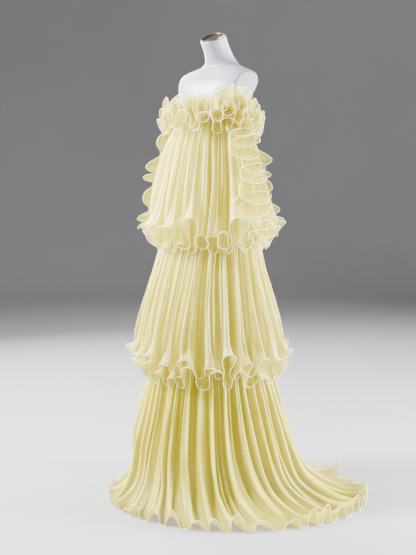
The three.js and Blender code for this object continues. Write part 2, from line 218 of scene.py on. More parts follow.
class Folds:
    """Uneven folds round a ring: where each one's crest is, and how big it is."""

    def __init__(self, crests, sizes):
        self.crests = np.append(crests, crests[0] + 360.0)
        self.sizes = np.append(sizes, sizes[0])

    @classmethod
    def scattered(cls, count, seed, uneven=0.3, sizes=(0.6, 1.3)):
        """Folds of a seeded unevenness."""
        random = np.random.default_rng(seed)
        widths = 1 + uneven * random.uniform(-1, 1, count)
        ends = np.cumsum(widths) / widths.sum() * 360
        return cls(ends - ends[0] + random.uniform(0, 360 / count), random.uniform(*sizes, count))

    @classmethod
    def placed(cls, table):
        """Folds from a table of (degrees, size)."""
        return cls(np.array([row[0] for row in table], float), np.array([row[1] for row in table], float))

    def phase(self, angle):
        """How far round each angle is, a turn for each fold, and 0 on a crest."""
        first = self.crests[0]
        round_ring = np.mod(np.degrees(angle) - first, 360.0) + first
        return np.interp(round_ring, self.crests, TURN * np.arange(len(self.crests)))

    def fold_at(self, angle):
        """Which fold each angle lies on, and how far across it."""
        place = self.phase(angle) / TURN
        fold = np.clip(np.floor(place).astype(int), 0, len(self.sizes) - 2)
        return fold, place - fold

    def size(self, angle):
        """The size of the fold at each angle, smooth from crest to crest."""
        fold, t = self.fold_at(angle)
        return self.sizes[fold] + (self.sizes[fold + 1] - self.sizes[fold]) * t * t * (3 - 2 * t)

    def pitch(self, angle):
        """The angle, in radians, that the fold at each angle takes up."""
        return np.radians(np.diff(self.crests)[self.fold_at(angle)[0]])


# The hem flutes of each tier: where, in degrees, and how big
FLUTES_1 = Folds.placed((
    (12, 0.9), (36, 1.1), (61, 0.8), (84, 1.2), (111, 0.9), (137, 1.1), (160, 0.8), (183, 1.05),
    (205, 0.9), (224, 0.6), (244, 1.0), (266, 0.95), (289, 1.4), (308, 0.5), (328, 1.4), (351, 0.8),
))
FLUTES_2 = Folds.placed((
    (16, 1.1), (38, 0.8), (59, 1.1), (83, 0.8), (108, 1.2), (131, 0.8), (155, 1.0), (178, 1.1),
    (201, 0.8), (222, 1.1), (242, 0.8), (258, 0.95), (271, 0.55), (290, 0.9), (306, 0.5), (319, 1.25),
    (333, 0.75), (345, 0.9), (358, 0.7),
))
FLUTES_3 = Folds.scattered(38, seed=64, uneven=0.4, sizes=(0.45, 1.45))
INNER_FLUTES_1 = Folds.scattered(17, seed=61, uneven=0.55, sizes=(0.35, 1.45))
INNER_FLUTES_2 = Folds.scattered(19, seed=62, uneven=0.55, sizes=(0.35, 1.45))
UNDER_FLUTES = Folds.scattered(14, seed=63, uneven=0.5, sizes=(0.3, 1.5))

# How a skirt's folds wander round it on their way down: how far, in radians, how many waves that takes round the
# skirt, and how far each wave turns on the way down. The last row moves the fine gathers alone
SWAY = ((0.040, 2, 2.2), (0.028, 7, 4.5), (0.006, 31, 9))
GATHER_SHARP, PLEAT_SHARP, FLUTE_SHARP = 0.6, 0.7, 1.2  # how sharp the crests are, as powers for ridge
GATHER_UNEVEN, PLEAT_UNEVEN = 0.5, 0.8  # how uneven the folds' widths are
GATHER_SIZES, PLEAT_SIZES = (0.3, 1.6), (0.2, 1.8)  # the folds' smallest and largest sizes
PLEAT_LEAN = 0.3  # how far a pleat bulges over its sides, as a share of its width
BELLY, WAIST = 0.55, 0.40  # how wide a flute's body is at the hem, and how narrow above it

NECK_HIGH = math.radians(290)  # where the neckline is highest
NECK_DROP = 45  # how far it falls towards the back
DIP_SHARE = 0.35  # how far down the top tier that is felt
NECK_FROM, BODICE_FOOT, BODICE_OUT = 1585, 1080, 1.6  # the bodice's top and foot, and how far off the form it lies
FLOOR_GAP = 2.0  # how far the lowest cloth lies above the floor, for its rolled edge
HEM_CROWDING = 0.45  # how much closer together a skirt's points are at the hem
LIP = 16  # length of the flared lip at a hem
RIM = 30  # length of the clearer band above a hem
THREAD = 1.0  # spacing of the cloth's threads
HEM_SIDES = 5  # sides of a rolled hem's section
FORM_SIDES = 128
CAP = {"radius": 48, "rim": 4.5, "thick": 3, "rim_high": 6, "edge": 1.2, "gap": 0.3, "sides": 96}
CAMERA_SLIDE = -12  # how far the camera is moved to its right
CAMERA_SENSOR = 36
LAMP_TARGET = (0, 0, 1.25)
SKY_COLOUR, SKY_STRENGTH = (0.60, 0.62, 0.66, 1), 0.07
FLOOR_SIDES = 96
FLOOR_FLAT, WALL_CURVE, WALL_TOP = 7.0, 4.0, 7.0  # in metres, the floor's radius, its wall's bend and the wall's top

# The lamps: where they stand, their size in metres, their power in watts and their colour
LAMPS = (
    ("key_lamp", (-1.7, -1.9, 2.9), (0.9, 1.4), 900, (1.0, 0.99, 0.97)),
    ("fill_lamp", (2.6, -3.6, 2.2), (2.0, 2.0), 40, (0.95, 0.97, 1.0)),
    ("side_lamp", (2.7, 1.5, 1.1), (0.8, 1.2), 560, (1.0, 0.99, 0.97)),
    ("rim_lamp_left", (-3.2, 1.6, 2.6), (1.4, 2.2), 380, (1.0, 1.0, 1.0)),
    ("rim_lamp_right", (1.6, 3.8, 2.8), (1.4, 2.2), 420, (1.0, 1.0, 1.0)),
)

# The neckline ruffles' flutes, one list for each strip from the top one down
NECK_FLUTES = (
    Folds.placed((
        (12, 0.9), (45, 0.8), (80, 1.1), (115, 0.9), (150, 1.1), (184, 1.0),
        (214, 1.1), (243, 0.7), (268, 0.75), (290, 0.7), (314, 1.6), (341, 1.4),
    )),
    Folds.placed((
        (27, 1.1), (60, 0.9), (96, 1.0), (131, 1.2), (166, 0.8), (199, 1.1),
        (227, 0.8), (254, 1.1), (279, 0.8), (303, 1.2), (330, 1.25), (357, 0.9),
    )),
    Folds.placed((
        (14, 0.9), (44, 1.1), (78, 0.9), (112, 1.1), (147, 0.9), (180, 1.1), (209, 0.8),
        (236, 1.1), (266, 1.1), (296, 1.4), (326, 1.1), (350, 0.7),
    )),
    Folds.placed((
        (0, 1.0), (31, 0.8), (62, 1.1), (95, 0.9), (129, 1.1), (163, 0.9), (195, 1.0),
        (222, 1.0), (248, 0.9), (273, 1.15), (299, 1.0), (324, 0.8), (346, 1.0),
    )),
    Folds.placed((
        (5, 1.0), (36, 1.1), (68, 0.8), (104, 1.1), (140, 0.9), (172, 1.1), (196, 0.8),
        (224, 1.2), (252, 0.9), (280, 1.45), (309, 1.5), (340, 1.3),
    )),
)


def unit(vectors):
    """Vectors brought to length 1."""
    return vectors / np.maximum(np.linalg.norm(vectors, axis=-1, keepdims=True), 1e-12)


def stacked(*parts):
    """Points, or uv, from the arrays of their coordinates."""
    return np.stack(np.broadcast_arrays(*parts), axis=-1)


def row_lie(row):
    """How far along a row of points each of them lies."""
    return np.cumsum(np.linalg.norm(np.diff(row, axis=0, prepend=row[:1]), axis=-1))


def ridge(phase, sharp=1.0):
    """1 on a fold's crest and 0 in its valley; a low sharpness makes broad crests and narrow valleys."""
    return ((1 + np.cos(phase)) / 2) ** sharp


def ease(values, low, high):
    """0 below low, 1 above high, and smooth between."""
    t = np.clip((values - low) / (high - low), 0, 1)
    return t * t * (3 - 2 * t)


def panel_angles(panel, columns):
    """The angles of a panel's columns, in radians, with one more column beyond each seam."""
    first, last = (math.radians(end) for end in PANELS[panel])
    step = (last - first) / (columns - 1)
    return first + step * np.arange(-1, columns + 1)


def oval(level, angle, turn):
    """Points round level ovals: a row for each height and a column for each angle."""
    height, along, across, east, north = (level[:, i, None] for i in range(5))
    turn = math.radians(turn)
    x = along * np.cos(angle - turn)
    y = across * np.sin(angle - turn)
    cos, sin = math.cos(turn), math.sin(turn)
    return stacked(x * cos - y * sin + east, x * sin + y * cos + north, height)


def torso_points(heights, angle, out=0.0):
    """Points round the form, or round a layer that lies on it, in millimetres."""
    width, depth, middle, power, tilt = (form_section(heights)[:, i, None] for i in range(5))
    cos, sin = np.cos(angle), np.sin(angle)
    x = (width + out) * np.sign(cos) * np.abs(cos) ** (2 / power)
    y = (depth + out) * np.sign(sin) * np.abs(sin) ** (2 / power) + middle
    plate = ARM_PLATE["x"] + out + (y - ARM_PLATE["y"]) * ARM_PLATE["toe_in"]
    heights = np.asarray(heights, float)[:, None]
    x = np.where(heights >= ARM_PLATE["from"], np.clip(x, -plate, plate), x)
    return stacked(x, y, heights + (y - middle) * tilt)


def neck_dip(angle):
    """How far, in millimetres, the neckline lies below its highest point, which is at the front."""
    return NECK_DROP * np.tanh(0.75 * (1 - np.cos(angle - NECK_HIGH)))


def row_lengths(table):
    """How far down the drop each row of a skirt lies, along the cloth."""
    table = np.asarray(table, float)
    radius = (table[:, 1] + table[:, 2]) / 2
    return np.concatenate([[0], np.cumsum(np.hypot(np.diff(radius), np.diff(table[:, 0])))])


def skirt_base(skirt, level, share, angle):
    """A skirt before it is folded: its points, the ways along it and out of it, and its radius."""
    base = oval(level, angle, skirt["turn"])
    if skirt is TIER_1:
        base[..., 2] -= neck_dip(angle) * (1 - ease(share, 0, DIP_SHARE))[:, None]
    down = unit(np.gradient(base, axis=0))
    round_ring = np.gradient(base, angle[1] - angle[0], axis=1)
    along = unit(round_ring)
    return base, along, unit(np.cross(down, along)), np.linalg.norm(round_ring, axis=-1)


def skirt_surface(skirt, panel, shape, seed, flutes, settings):
    """A gathered and fluted skirt panel: its points in metres, its uv, and its marks for the material."""
    rows, columns = shape
    table = np.asarray(skirt["rows"], float)
    stops = row_lengths(table)
    drop = stops[-1]
    even = np.linspace(0, 1, rows)
    share = (1 + HEM_CROWDING) * even - HEM_CROWDING * even ** 2
    level = smooth_rows(table, stops / drop, share)
    angle = panel_angles(panel, columns)
    base, along, outward, radius = skirt_base(skirt, level, share, angle)
    gather, pleat, flute, lift = (level[:, i, None] for i in range(5, 9))
    share = share[:, None]

    # Where the folds are
    start = np.random.default_rng(seed).uniform(0, TURN, 4)
    wide_sway, sway, fine_sway = (
        far * np.sin(waves * angle + begun + turned * share) for (far, waves, turned), begun in zip(SWAY, start)
    )
    drift = share * (wide_sway + sway)
    fine = Folds.scattered(skirt["gathers"], seed + 1, GATHER_UNEVEN, GATHER_SIZES)
    broad = Folds.scattered(skirt["pleats"], seed + 2, PLEAT_UNEVEN, PLEAT_SIZES)
    fine_at, broad_at, flute_at = angle + 1.4 * drift + fine_sway, angle + drift, angle + 0.35 * drift
    fine_phase, broad_phase, flute_phase = fine.phase(fine_at), broad.phase(broad_at), flutes.phase(flute_at)

    # How far they stand out, and how high a flute lifts the hem
    size = flutes.size(flute_at)
    valley = 1 - ridge(flute_phase)
    rise = (ridge(flute_phase, FLUTE_SHARP) + 0.15 - 0.3 * valley ** 4) * size
    fading = 0.72 + 0.28 * np.sin(6.5 * share + 5 * np.sin(4 * angle + start[3]))
    out = (
        settings.gather_depth * gather * (2 * ridge(fine_phase, GATHER_SHARP) * fine.size(fine_at) - 1)
        + settings.pleat_depth * pleat * fading * (2 * ridge(broad_phase, PLEAT_SHARP) * broad.size(broad_at) - 1)
        + settings.flute_depth * flute * size * (np.cos(flute_phase) + 0.3)
        + ease(share, 1 - LIP / drop, 1) ** 2 * (2 + 5 * rise)
    )

    # How far they lean over their own sides
    grown = flute / flute[-1]
    bulb = settings.overhang * skirt["overhang"] * grown * np.clip(size, 0.4, 1.2) * np.sin(2 * flute_phase)
    body = (BELLY * grown - WAIST * ease(share, 0.1, 0.5)) * np.sin(flute_phase)
    pleat_lean = PLEAT_LEAN * broad.pitch(broad_at) * np.sin(2 * broad_phase) * np.clip(pleat / 6, 0, 1)
    lean = radius / TURN * (pleat_lean + flutes.pitch(flute_at) * (bulb + body))

    frill = settings.frill / MM * ease(share, 1 - 3 * LIP / drop, 1)
    frill_phase = 5 * flute_phase + 3 * np.sin(9 * angle + start[3])
    points = base + outward * (out + frill * np.sin(frill_phase))[..., None] + along * lean[..., None]
    points[..., 2] += settings.flute_lift * lift * rise + 0.8 * frill * np.cos(frill_phase)
    points[..., 2] = np.maximum(points[..., 2], FLOOR_GAP)

    # The fold mark: 1 on crests and 0 in valleys. The material paints the crests paler by it, as painted highlight, and
    # the valleys darker, as painted shade
    fold = (
        gather * ridge(fine_phase, 0.8) + pleat * ridge(broad_phase, 0.9) + 0.7 * flute * ridge(flute_phase, 0.9)
    ) / np.maximum(gather + pleat + 0.7 * flute, 0.01)
    rim = ease(share, 1 - skirt.get("rim", RIM) / drop, 1) + 0 * fold
    uv = stacked(row_lie(points[rows // 2]), share * drop) * MM
    inner = slice(1, -1)
    return points[:, inner] * MM, uv[:, inner], {"fold": fold[:, inner], "rim": rim[:, inner]}


def grid_quads(rows, columns):
    """The quads of a grid whose faces point to the side that its columns run anticlockwise on."""
    index = np.arange(rows * columns).reshape(rows, columns)
    return np.stack([index[1:, :-1], index[1:, 1:], index[:-1, 1:], index[:-1, :-1]], axis=-1).reshape(-1, 4)


def grid_object(name, points, uv, marks):
    """A sheet of quads from points, uv and marks that all have a row for each row of the sheet."""
    flat = {mark: values.ravel() for mark, values in marks.items()}
    return mesh_object(name, points.reshape(-1, 3), grid_quads(*points.shape[:2]), uv.reshape(-1, 2), flat)


def linked(name, data):
    """An object of that data in the scene, at the origin."""
    made = bpy.data.objects.new(name, data)
    bpy.context.scene.collection.objects.link(made)
    return made


def mesh_object(name, points, quads, uv, marks):
    """A smooth object with a UV map in metres, and a value or a vector at each point for each mark."""
    mesh = bpy.data.meshes.new(name)
    mesh.vertices.add(len(points))
    mesh.vertices.foreach_set("co", points.astype(np.float32).ravel())
    mesh.loops.add(quads.size)
    mesh.loops.foreach_set("vertex_index", quads.astype(np.int32).ravel())
    mesh.polygons.add(len(quads))
    mesh.polygons.foreach_set("loop_start", np.arange(0, quads.size, 4, dtype=np.int32))
    mesh.update(calc_edges=True)
    layer = mesh.uv_layers.new(name="UVMap")
    layer.data.foreach_set("uv", uv[quads.ravel()].astype(np.float32).ravel())
    for mark, values in marks.items():
        kind, key = ("FLOAT_VECTOR", "vector") if values.ndim == 2 else ("FLOAT", "value")
        attribute = mesh.attributes.new(mark, kind, "POINT")
        attribute.data.foreach_set(key, values.astype(np.float32).ravel())
    mesh.shade_smooth()
    mesh.validate()
    return linked(name, mesh)


def joined(parts):
    """Several (points, quads, uv, marks) as one."""
    points, quads, uv, marks = zip(*parts)
    starts = np.cumsum([0] + [len(part) for part in points[:-1]])
    return (
        np.concatenate(points),
        np.concatenate([part + start for part, start in zip(quads, starts)]),
        np.concatenate(uv),
        {mark: np.concatenate([part[mark] for part in marks]) for mark in marks[0]},
    )


def coordinates(made):
    """An object's points as an array."""
    points = np.empty(len(made.data.vertices) * 3, np.float32)
    made.data.vertices.foreach_get("co", points)
    return points.reshape(-1, 3).astype(float)


class Wire:
    """An output of a node. Arithmetic on it adds Math nodes, or Vector Math nodes for a vector."""

    def __init__(self, shop, socket):
        self.shop = shop
        self.socket = socket

    def work(self, operation, *terms):
        kind = "ShaderNodeVectorMath" if self.socket.type == "VECTOR" else "ShaderNodeMath"
        return self.shop.add(kind, {"operation": operation}, dict(enumerate(terms)))

    def __add__(self, other):
        return self.work("ADD", self, other)

    def __radd__(self, other):
        return self.work("ADD", other, self)

    def __sub__(self, other):
        return self.work("SUBTRACT", self, other)

    def __rsub__(self, other):
        return self.work("SUBTRACT", other, self)

    def __mul__(self, other):
        return self.work("MULTIPLY", self, other)

    def __rmul__(self, other):
        return self.work("MULTIPLY", other, self)

    def __pow__(self, other):
        return self.work("POWER", self, other)

    def sine(self):
        return self.work("SINE", self)

    def cosine(self):
        return self.work("COSINE", self)

    def scaled(self, factor):
        """A vector times a number."""
        return self.shop.add("ShaderNodeVectorMath", {"operation": "SCALE"}, {0: self, "Scale": factor})

    def between(self, low, high):
        """0 at low, 1 at high, and smooth between."""
        return self.shop.add(
            "ShaderNodeMapRange", {"interpolation_type": "SMOOTHSTEP"},
            {"Value": self, "From Min": low, "From Max": high},
        )


class Shop:
    """Adds nodes to one node tree."""

    def __init__(self, tree):
        self.tree = tree

    def feed(self, socket, value):
        """Links a wire to a socket, or sets the socket's value."""
        if isinstance(value, Wire):
            self.tree.links.new(value.socket, socket)
        else:
            socket.default_value = value

    def node(self, kind, settings=None, sockets=None):
        """A node of that type: its settings come first, then its sockets' values and links."""
        node = self.tree.nodes.new(kind)
        for name, value in (settings or {}).items():
            setattr(node, name, value)
        for key, value in (sockets or {}).items():
            self.feed(node.inputs[key], value)
        return node

    def add(self, kind, settings=None, sockets=None, output=0):
        """One output of a new node."""
        return Wire(self, self.node(kind, settings, sockets).outputs[output])

    def blend(self, low, high, factor):
        """A mix of two colours."""
        kind = {"data_type": "RGBA", "clamp_factor": True}
        return self.add("ShaderNodeMix", kind, {"Factor": factor, 6: low, 7: high}, output=2)


# The span over which the painted shade of the folds goes over into the painted highlight of the crests
SHADE_TO_HIGHLIGHT_SPAN = 0.48  # how gently the folds' colour goes over into the crests'
GLOW_COLOUR = (1.0, 0.80, 0.02)  # what many layers of the cloth pass on to each other
PASSED = 0.2  # how much of its light the cloth passes through


class Paint(Shop):
    """A new material's node tree."""

    def __init__(self, name):
        self.material = bpy.data.materials.new(name)
        self.material.use_nodes = True
        self.material.node_tree.nodes.clear()
        super().__init__(self.material.node_tree)
        self.place = self.add("ShaderNodeTexCoord", output="Object")

    def noise(self, vector, scale, detail=2.0):
        """A soft noise between 0 and 1; a scale for each axis stretches it."""
        if isinstance(scale, tuple):
            vector = self.add("ShaderNodeMapping", sockets={"Vector": vector, "Scale": scale})
            scale = 1.0
        return self.add("ShaderNodeTexNoise", sockets={"Vector": vector, "Scale": scale, "Detail": detail})

    def mark(self, name):
        """A mark that the mesh carries at its points."""
        return self.add("ShaderNodeAttribute", {"attribute_name": name}, output="Fac")

    def bumps(self, strength, distance, height):
        """A normal with that height's bumps."""
        return self.add("ShaderNodeBump", sockets={"Strength": strength, "Distance": distance, "Height": height})

    def principled(self, **sockets):
        """A Principled BSDF whose sockets are named with underscores for spaces."""
        named = {key.replace("_", " "): value for key, value in sockets.items()}
        return self.add("ShaderNodeBsdfPrincipled", sockets=named)

    def finish(self, shader):
        """Ends the material in that shader."""
        output = self.node("ShaderNodeOutputMaterial")
        self.feed(output.inputs["Surface"], shader)
        return self.material


def solid(colour, shade=1.0):
    """A colour times a shade, with full alpha."""
    return (*(part * shade for part in colour), 1.0)


def mean_colour(first, second, share=0.5):
    """A colour between two, with that share of the second."""
    return tuple(a * (1 - share) + b * share for a, b in zip(first, second))


def cloth_material(name, layered_and_shaded, glow, crest, cover, rim_clear, pale_from):
    """Light cloth: pale on its crests and rims and darker in its folds, partly the colour that layered cloth builds up
    and partly painted highlight on the crests and painted shade in the folds; darker lower down, as painted shade; and
    woven. It hides as much as its cover says, and less at its rims, and passes a little light through."""
    shop = Paint(name)
    rim = shop.mark("rim")
    uv = shop.add("ShaderNodeUVMap", {"uv_map": "UVMap"})
    streak = shop.noise(uv, (150, 7, 1), 3.0) - 0.5
    cloud = shop.noise(shop.place, 11.0) - 0.5
    crease = shop.noise(uv, (34, 5, 1), 4.0)

    # upper goes from 0 low down to 1 at 1.3 m: the cloth is painted darker lower down, as painted shade where less lamp
    # light falls
    upper = shop.add("ShaderNodeSeparateXYZ", sockets={"Vector": shop.place}, output="Z").between(0.1, 1.3)
    # The fold mark paints the crests paler, as painted highlight, and the folds darker, as painted shade, besides the
    # colour that layered cloth builds up in them
    height = shop.mark("fold") + 0.30 * streak + 0.35 * cloud + 0.25 * rim + 0.22 * (upper - 1.0)
    pale = height.between(pale_from, pale_from + SHADE_TO_HIGHLIGHT_SPAN)
    # The fold colour, painted darker lower down as painted shade
    folded = shop.blend(solid(layered_and_shaded, 0.72), solid(layered_and_shaded), upper)

    threads = shop.node("ShaderNodeSeparateXYZ", sockets={"Vector": uv})
    across, down = ((Wire(shop, threads.outputs[axis]) * (TURN / (THREAD * MM))).sine() for axis in "XY")
    bumps = shop.bumps(0.35, 0.002, crease + 0.02 * (across * down))
    lit = shop.principled(
        Base_Color=shop.blend(folded, solid(crest), pale),
        Roughness=0.58 - 0.16 * pale + 0.1 * streak,
        Normal=bumps,
        Specular_IOR_Level=0.3,
        Sheen_Weight=0.12,
        Sheen_Roughness=0.4,
        Sheen_Tint=(1.0, 0.98, 0.86, 1.0),
        Emission_Color=shop.blend(solid(GLOW_COLOUR), solid(crest), 0.3 * pale),
        Emission_Strength=glow,
    )
    passed = solid(mean_colour(layered_and_shaded, crest))
    through = shop.add("ShaderNodeBsdfTranslucent", sockets={"Color": passed, "Normal": bumps})
    body = shop.add("ShaderNodeMixShader", sockets={0: PASSED, 1: lit, 2: through})
    clear = shop.add("ShaderNodeBsdfTransparent")
    shown = cover + 0.10 * streak - rim_clear * rim
    return shop.finish(shop.add("ShaderNodeMixShader", sockets={0: shown, 1: clear, 2: body}))


def hem_material(name, colour):
    """The rolled edge: the same cloth rolled tight, so it is opaque and pale, with its stitches as bumps."""
    shop = Paint(name)
    stitch = shop.noise(shop.place, 420.0, 1.0)
    deeper = tuple(part * shade for part, shade in zip(colour, (0.96, 0.92, 0.72)))
    return shop.finish(shop.principled(
        Base_Color=shop.blend(solid(deeper), solid(colour), shop.noise(shop.place, 25.0).between(0.3, 0.7)),
        Roughness=0.42 + 0.15 * stitch,
        Normal=shop.bumps(0.3, 0.0006, stitch),
        Sheen_Weight=0.3,
        # A faint emission: painted glow, as though the rolled edge gave off light of its own
        Emission_Color=solid(colour),
        Emission_Strength=0.02,
    ))


def shell_material(name, colour):
    """The form's smooth painted shell."""
    shop = Paint(name)
    cloud, grain = shop.noise(shop.place, 6.0, 3.0), shop.noise(shop.place, 260.0)
    clean = shop.blend(solid(colour, 0.93), solid(colour), cloud.between(0.25, 0.6))
    return shop.finish(shop.principled(
        # The seam mark darkens the mould seams, the form's own dark joints, and the arm plates all over, which is
        # painted shade
        Base_Color=shop.blend(clean, solid(colour, 0.35), 0.7 * shop.mark("seam")),
        Roughness=0.34 + 0.12 * cloud + 0.04 * grain,
        Normal=shop.bumps(0.12, 0.0004, grain),
        Coat_Weight=0.15,
        Coat_Roughness=0.25,
    ))


def metal_material(name, colour, roughness, brushed):
    """Metal with fine turned lines round its axis, and a little wear."""
    shop = Paint(name)
    brush, worn = shop.noise(shop.place, brushed, 3.0), shop.noise(shop.place, 18.0, 4.0)
    return shop.finish(shop.principled(
        Base_Color=shop.blend(solid(colour, 0.62), solid(colour), worn.between(0.3, 0.62)),
        Metallic=1.0,
        Roughness=roughness + 0.18 * (brush - 0.5) + 0.12 * (worn - 0.5),
        Normal=shop.bumps(0.15, 0.0003, brush),
    ))


def floor_material(name, colour):
    """A matt studio floor."""
    shop = Paint(name)
    return shop.finish(shop.principled(
        Base_Color=shop.blend(solid(colour, 0.97), solid(colour), shop.noise(shop.place, 0.7).between(0.3, 0.7)),
        Roughness=0.85,
        Specular_IOR_Level=0.2,
    ))


def material(key):
    """A material of the dress, made once and then shared."""
    name = "dress_" + key
    made = bpy.data.materials.get(name)
    if made:
        return made
    cloth, form = bpy.context.scene.dress_cloth, bpy.context.scene.dress_form
    crest, clear = tuple(cloth.crest_colour), cloth.rim_clear
    rich = (crest[0], crest[1] * 0.985, crest[2] * 0.45)  # where many layers lie over each other
    # Each cloth's crest colour, how much it hides, how much less its rim hides, and how high its pale part begins
    cloths = {
        "sheer": (crest, cloth.cover, clear, 0.35),
        "inner": (rich, 0.5 + 0.5 * cloth.cover, clear, 0.35),
        "ruffle": (rich, 0.3 + 0.7 * cloth.cover, clear, 0.50),
        "under": (cloth.under_colour, 0.95, 0.5, 0.35),
    }
    if key in cloths:
        return cloth_material(name, cloth.layered_and_shaded_fold_colour, cloth.glow, *cloths[key])
    if key == "hem":
        return hem_material(name, mean_colour(crest, (1, 1, 1), 0.4))
    if key == "shell":
        return shell_material(name, form.shell_colour)
    # Each metal's colour and roughness, and how fine its lines are along each axis
    metals = {"cap": (form.cap_colour, 0.38, (40, 40, 900)), "stand": (form.stand_colour, 0.34, (600, 600, 20))}
    return metal_material(name, *metals[key])


class Recipe:
    """A Geometry Nodes tree with named inputs, which is applied to an object and leaves a plain mesh."""

    KINDS = {float: "NodeSocketFloat", int: "NodeSocketInt", type(None): "NodeSocketMaterial"}

    def __init__(self, name, inputs):
        self.tree = bpy.data.node_groups.new(name, "GeometryNodeTree")
        self.shop = Shop(self.tree)
        self.tree.interface.new_socket("Geometry", in_out="INPUT", socket_type="NodeSocketGeometry")
        self.tree.interface.new_socket("Geometry", in_out="OUTPUT", socket_type="NodeSocketGeometry")
        self.sockets = {}
        for label, value in inputs.items():
            kind = self.KINDS[type(value)]
            socket = self.tree.interface.new_socket(label, in_out="INPUT", socket_type=kind)
            if value is not None:
                socket.default_value = value
            self.sockets[label] = socket.identifier
        self.source = self.tree.nodes.new("NodeGroupInput")
        self.sink = self.tree.nodes.new("NodeGroupOutput")

    def given(self, label):
        """An input of the tree."""
        return Wire(self.shop, self.source.outputs[label])

    def named(self, label, kind="FLOAT"):
        """A named attribute of the mesh."""
        return self.shop.add("GeometryNodeInputNamedAttribute", {"data_type": kind}, {"Name": label})

    def finish(self, geometry, cloth):
        """Ends the tree in Realize Instances and Set Material."""
        real = self.shop.add("GeometryNodeRealizeInstances", sockets={"Geometry": geometry})
        done = self.shop.add("GeometryNodeSetMaterial", sockets={"Geometry": real, "Material": cloth})
        self.shop.feed(self.sink.inputs["Geometry"], done)

    def cook(self, made, values):
        """Runs the tree on an object and keeps the result as its mesh."""
        modifier = made.modifiers.new(self.tree.name, "NODES")
        modifier.node_group = self.tree
        for label, value in values.items():
            modifier[self.sockets[label]] = value
        evaluated = made.evaluated_get(bpy.context.evaluated_depsgraph_get())
        mesh = bpy.data.meshes.new_from_object(evaluated)
        old = made.data
        made.modifiers.remove(modifier)
        made.data = mesh
        mesh.name = made.name
        bpy.data.meshes.remove(old)
        return made


def recipe(name, build):
    """A Geometry Nodes recipe, built the first time that it is asked for."""
    if name not in RECIPES:
        RECIPES[name] = build(name)
    return RECIPES[name]


RECIPES = {}


def rolled_hem_recipe(name):
    """Rolls a thin tube of cloth along every line of the mesh."""
    made = Recipe(name, {"Radius": 0.0016, "Sides": 6, "Cloth": None})
    shop = made.shop
    line = shop.add("GeometryNodeMeshToCurve", sockets={"Mesh": made.given("Geometry")})
    circle = shop.add(
        "GeometryNodeCurvePrimitiveCircle", {"mode": "RADIUS"},
        {"Resolution": made.given("Sides"), "Radius": made.given("Radius")},
    )
    tube = shop.add(
        "GeometryNodeCurveToMesh", sockets={"Curve": line, "Profile Curve": circle, "Fill Caps": True}
    )
    smooth = shop.add("GeometryNodeSetShadeSmooth", sockets={"Geometry": tube})
    made.finish(smooth, made.given("Cloth"))
    return made


def ruffle_recipe(name):
    """Throws a flat strip into flutes. The strip's points carry where and which way it is sewn on:
    root, fall, stand, run, turns, share, size and pitch."""
    made = Recipe(name, {
        "Reach": 0.07, "Wave Height": 0.02, "Lift": 0.03, "Overhang": 0.6, "Bulge": 0.0, "Pouch": 0.0, "Level": 0.0,
        "Curl": 0.006, "Ripple": 0.002, "Cloth": None,
    })
    shop = made.shop
    share, size, pitch = made.named("share"), made.named("size"), made.named("pitch")
    phase = made.named("turns") * TURN
    bloom = share ** 1.25
    crest = (0.5 + 0.5 * phase.cosine()) ** 1.8
    bulge = made.given("Bulge") * phase.sine() * size * share
    reach = made.given("Reach") * share + bulge - made.given("Lift") * crest * size * share ** 3.0
    wave = made.given("Wave Height") * size * bloom * (phase.cosine() + 0.2)
    curl = made.given("Curl") * crest * share ** 6.0
    ripple = made.given("Ripple") * (3.0 * phase + 5.0 * size).cosine() * share ** 2.0
    bulb = made.given("Overhang") * (2.0 * phase).sine() + 0.45 * phase.sine()
    level = made.given("Level") * (1.0 - phase.cosine()) * (TURN / 4)
    lean = pitch * (bulb - level) * bloom * (1 / TURN)
    pouch = (0.5 + 0.5 * phase.sine()) ** 1.5
    sag = made.given("Pouch") * pouch * size * share ** 1.7
    down = shop.add("ShaderNodeCombineXYZ", sockets={"Z": -1.0})
    place = (
        made.named("root", "FLOAT_VECTOR")
        + made.named("fall", "FLOAT_VECTOR").scaled(reach)
        + made.named("stand", "FLOAT_VECTOR").scaled(wave + curl + ripple)
        + made.named("run", "FLOAT_VECTOR").scaled(lean)
        + down.scaled(sag)
    )
    moved = shop.add("GeometryNodeSetPosition", sockets={"Geometry": made.given("Geometry"), "Position": place})
    made.finish(moved, made.given("Cloth"))
    return made


def length(name, description, default, low, high):
    """A length's property, in metres."""
    return FloatProperty(name=name, description=description, default=default, min=low, max=high, unit="LENGTH")


def factor(name, description, default, low=0.0, high=1.0):
    """A share's property."""
    return FloatProperty(name=name, description=description, default=default, min=low, max=high, subtype="FACTOR")


def colour(name, description, default):
    """A colour's property."""
    return FloatVectorProperty(
        name=name, description=description, default=default, min=0.0, max=1.0, subtype="COLOR",
    )


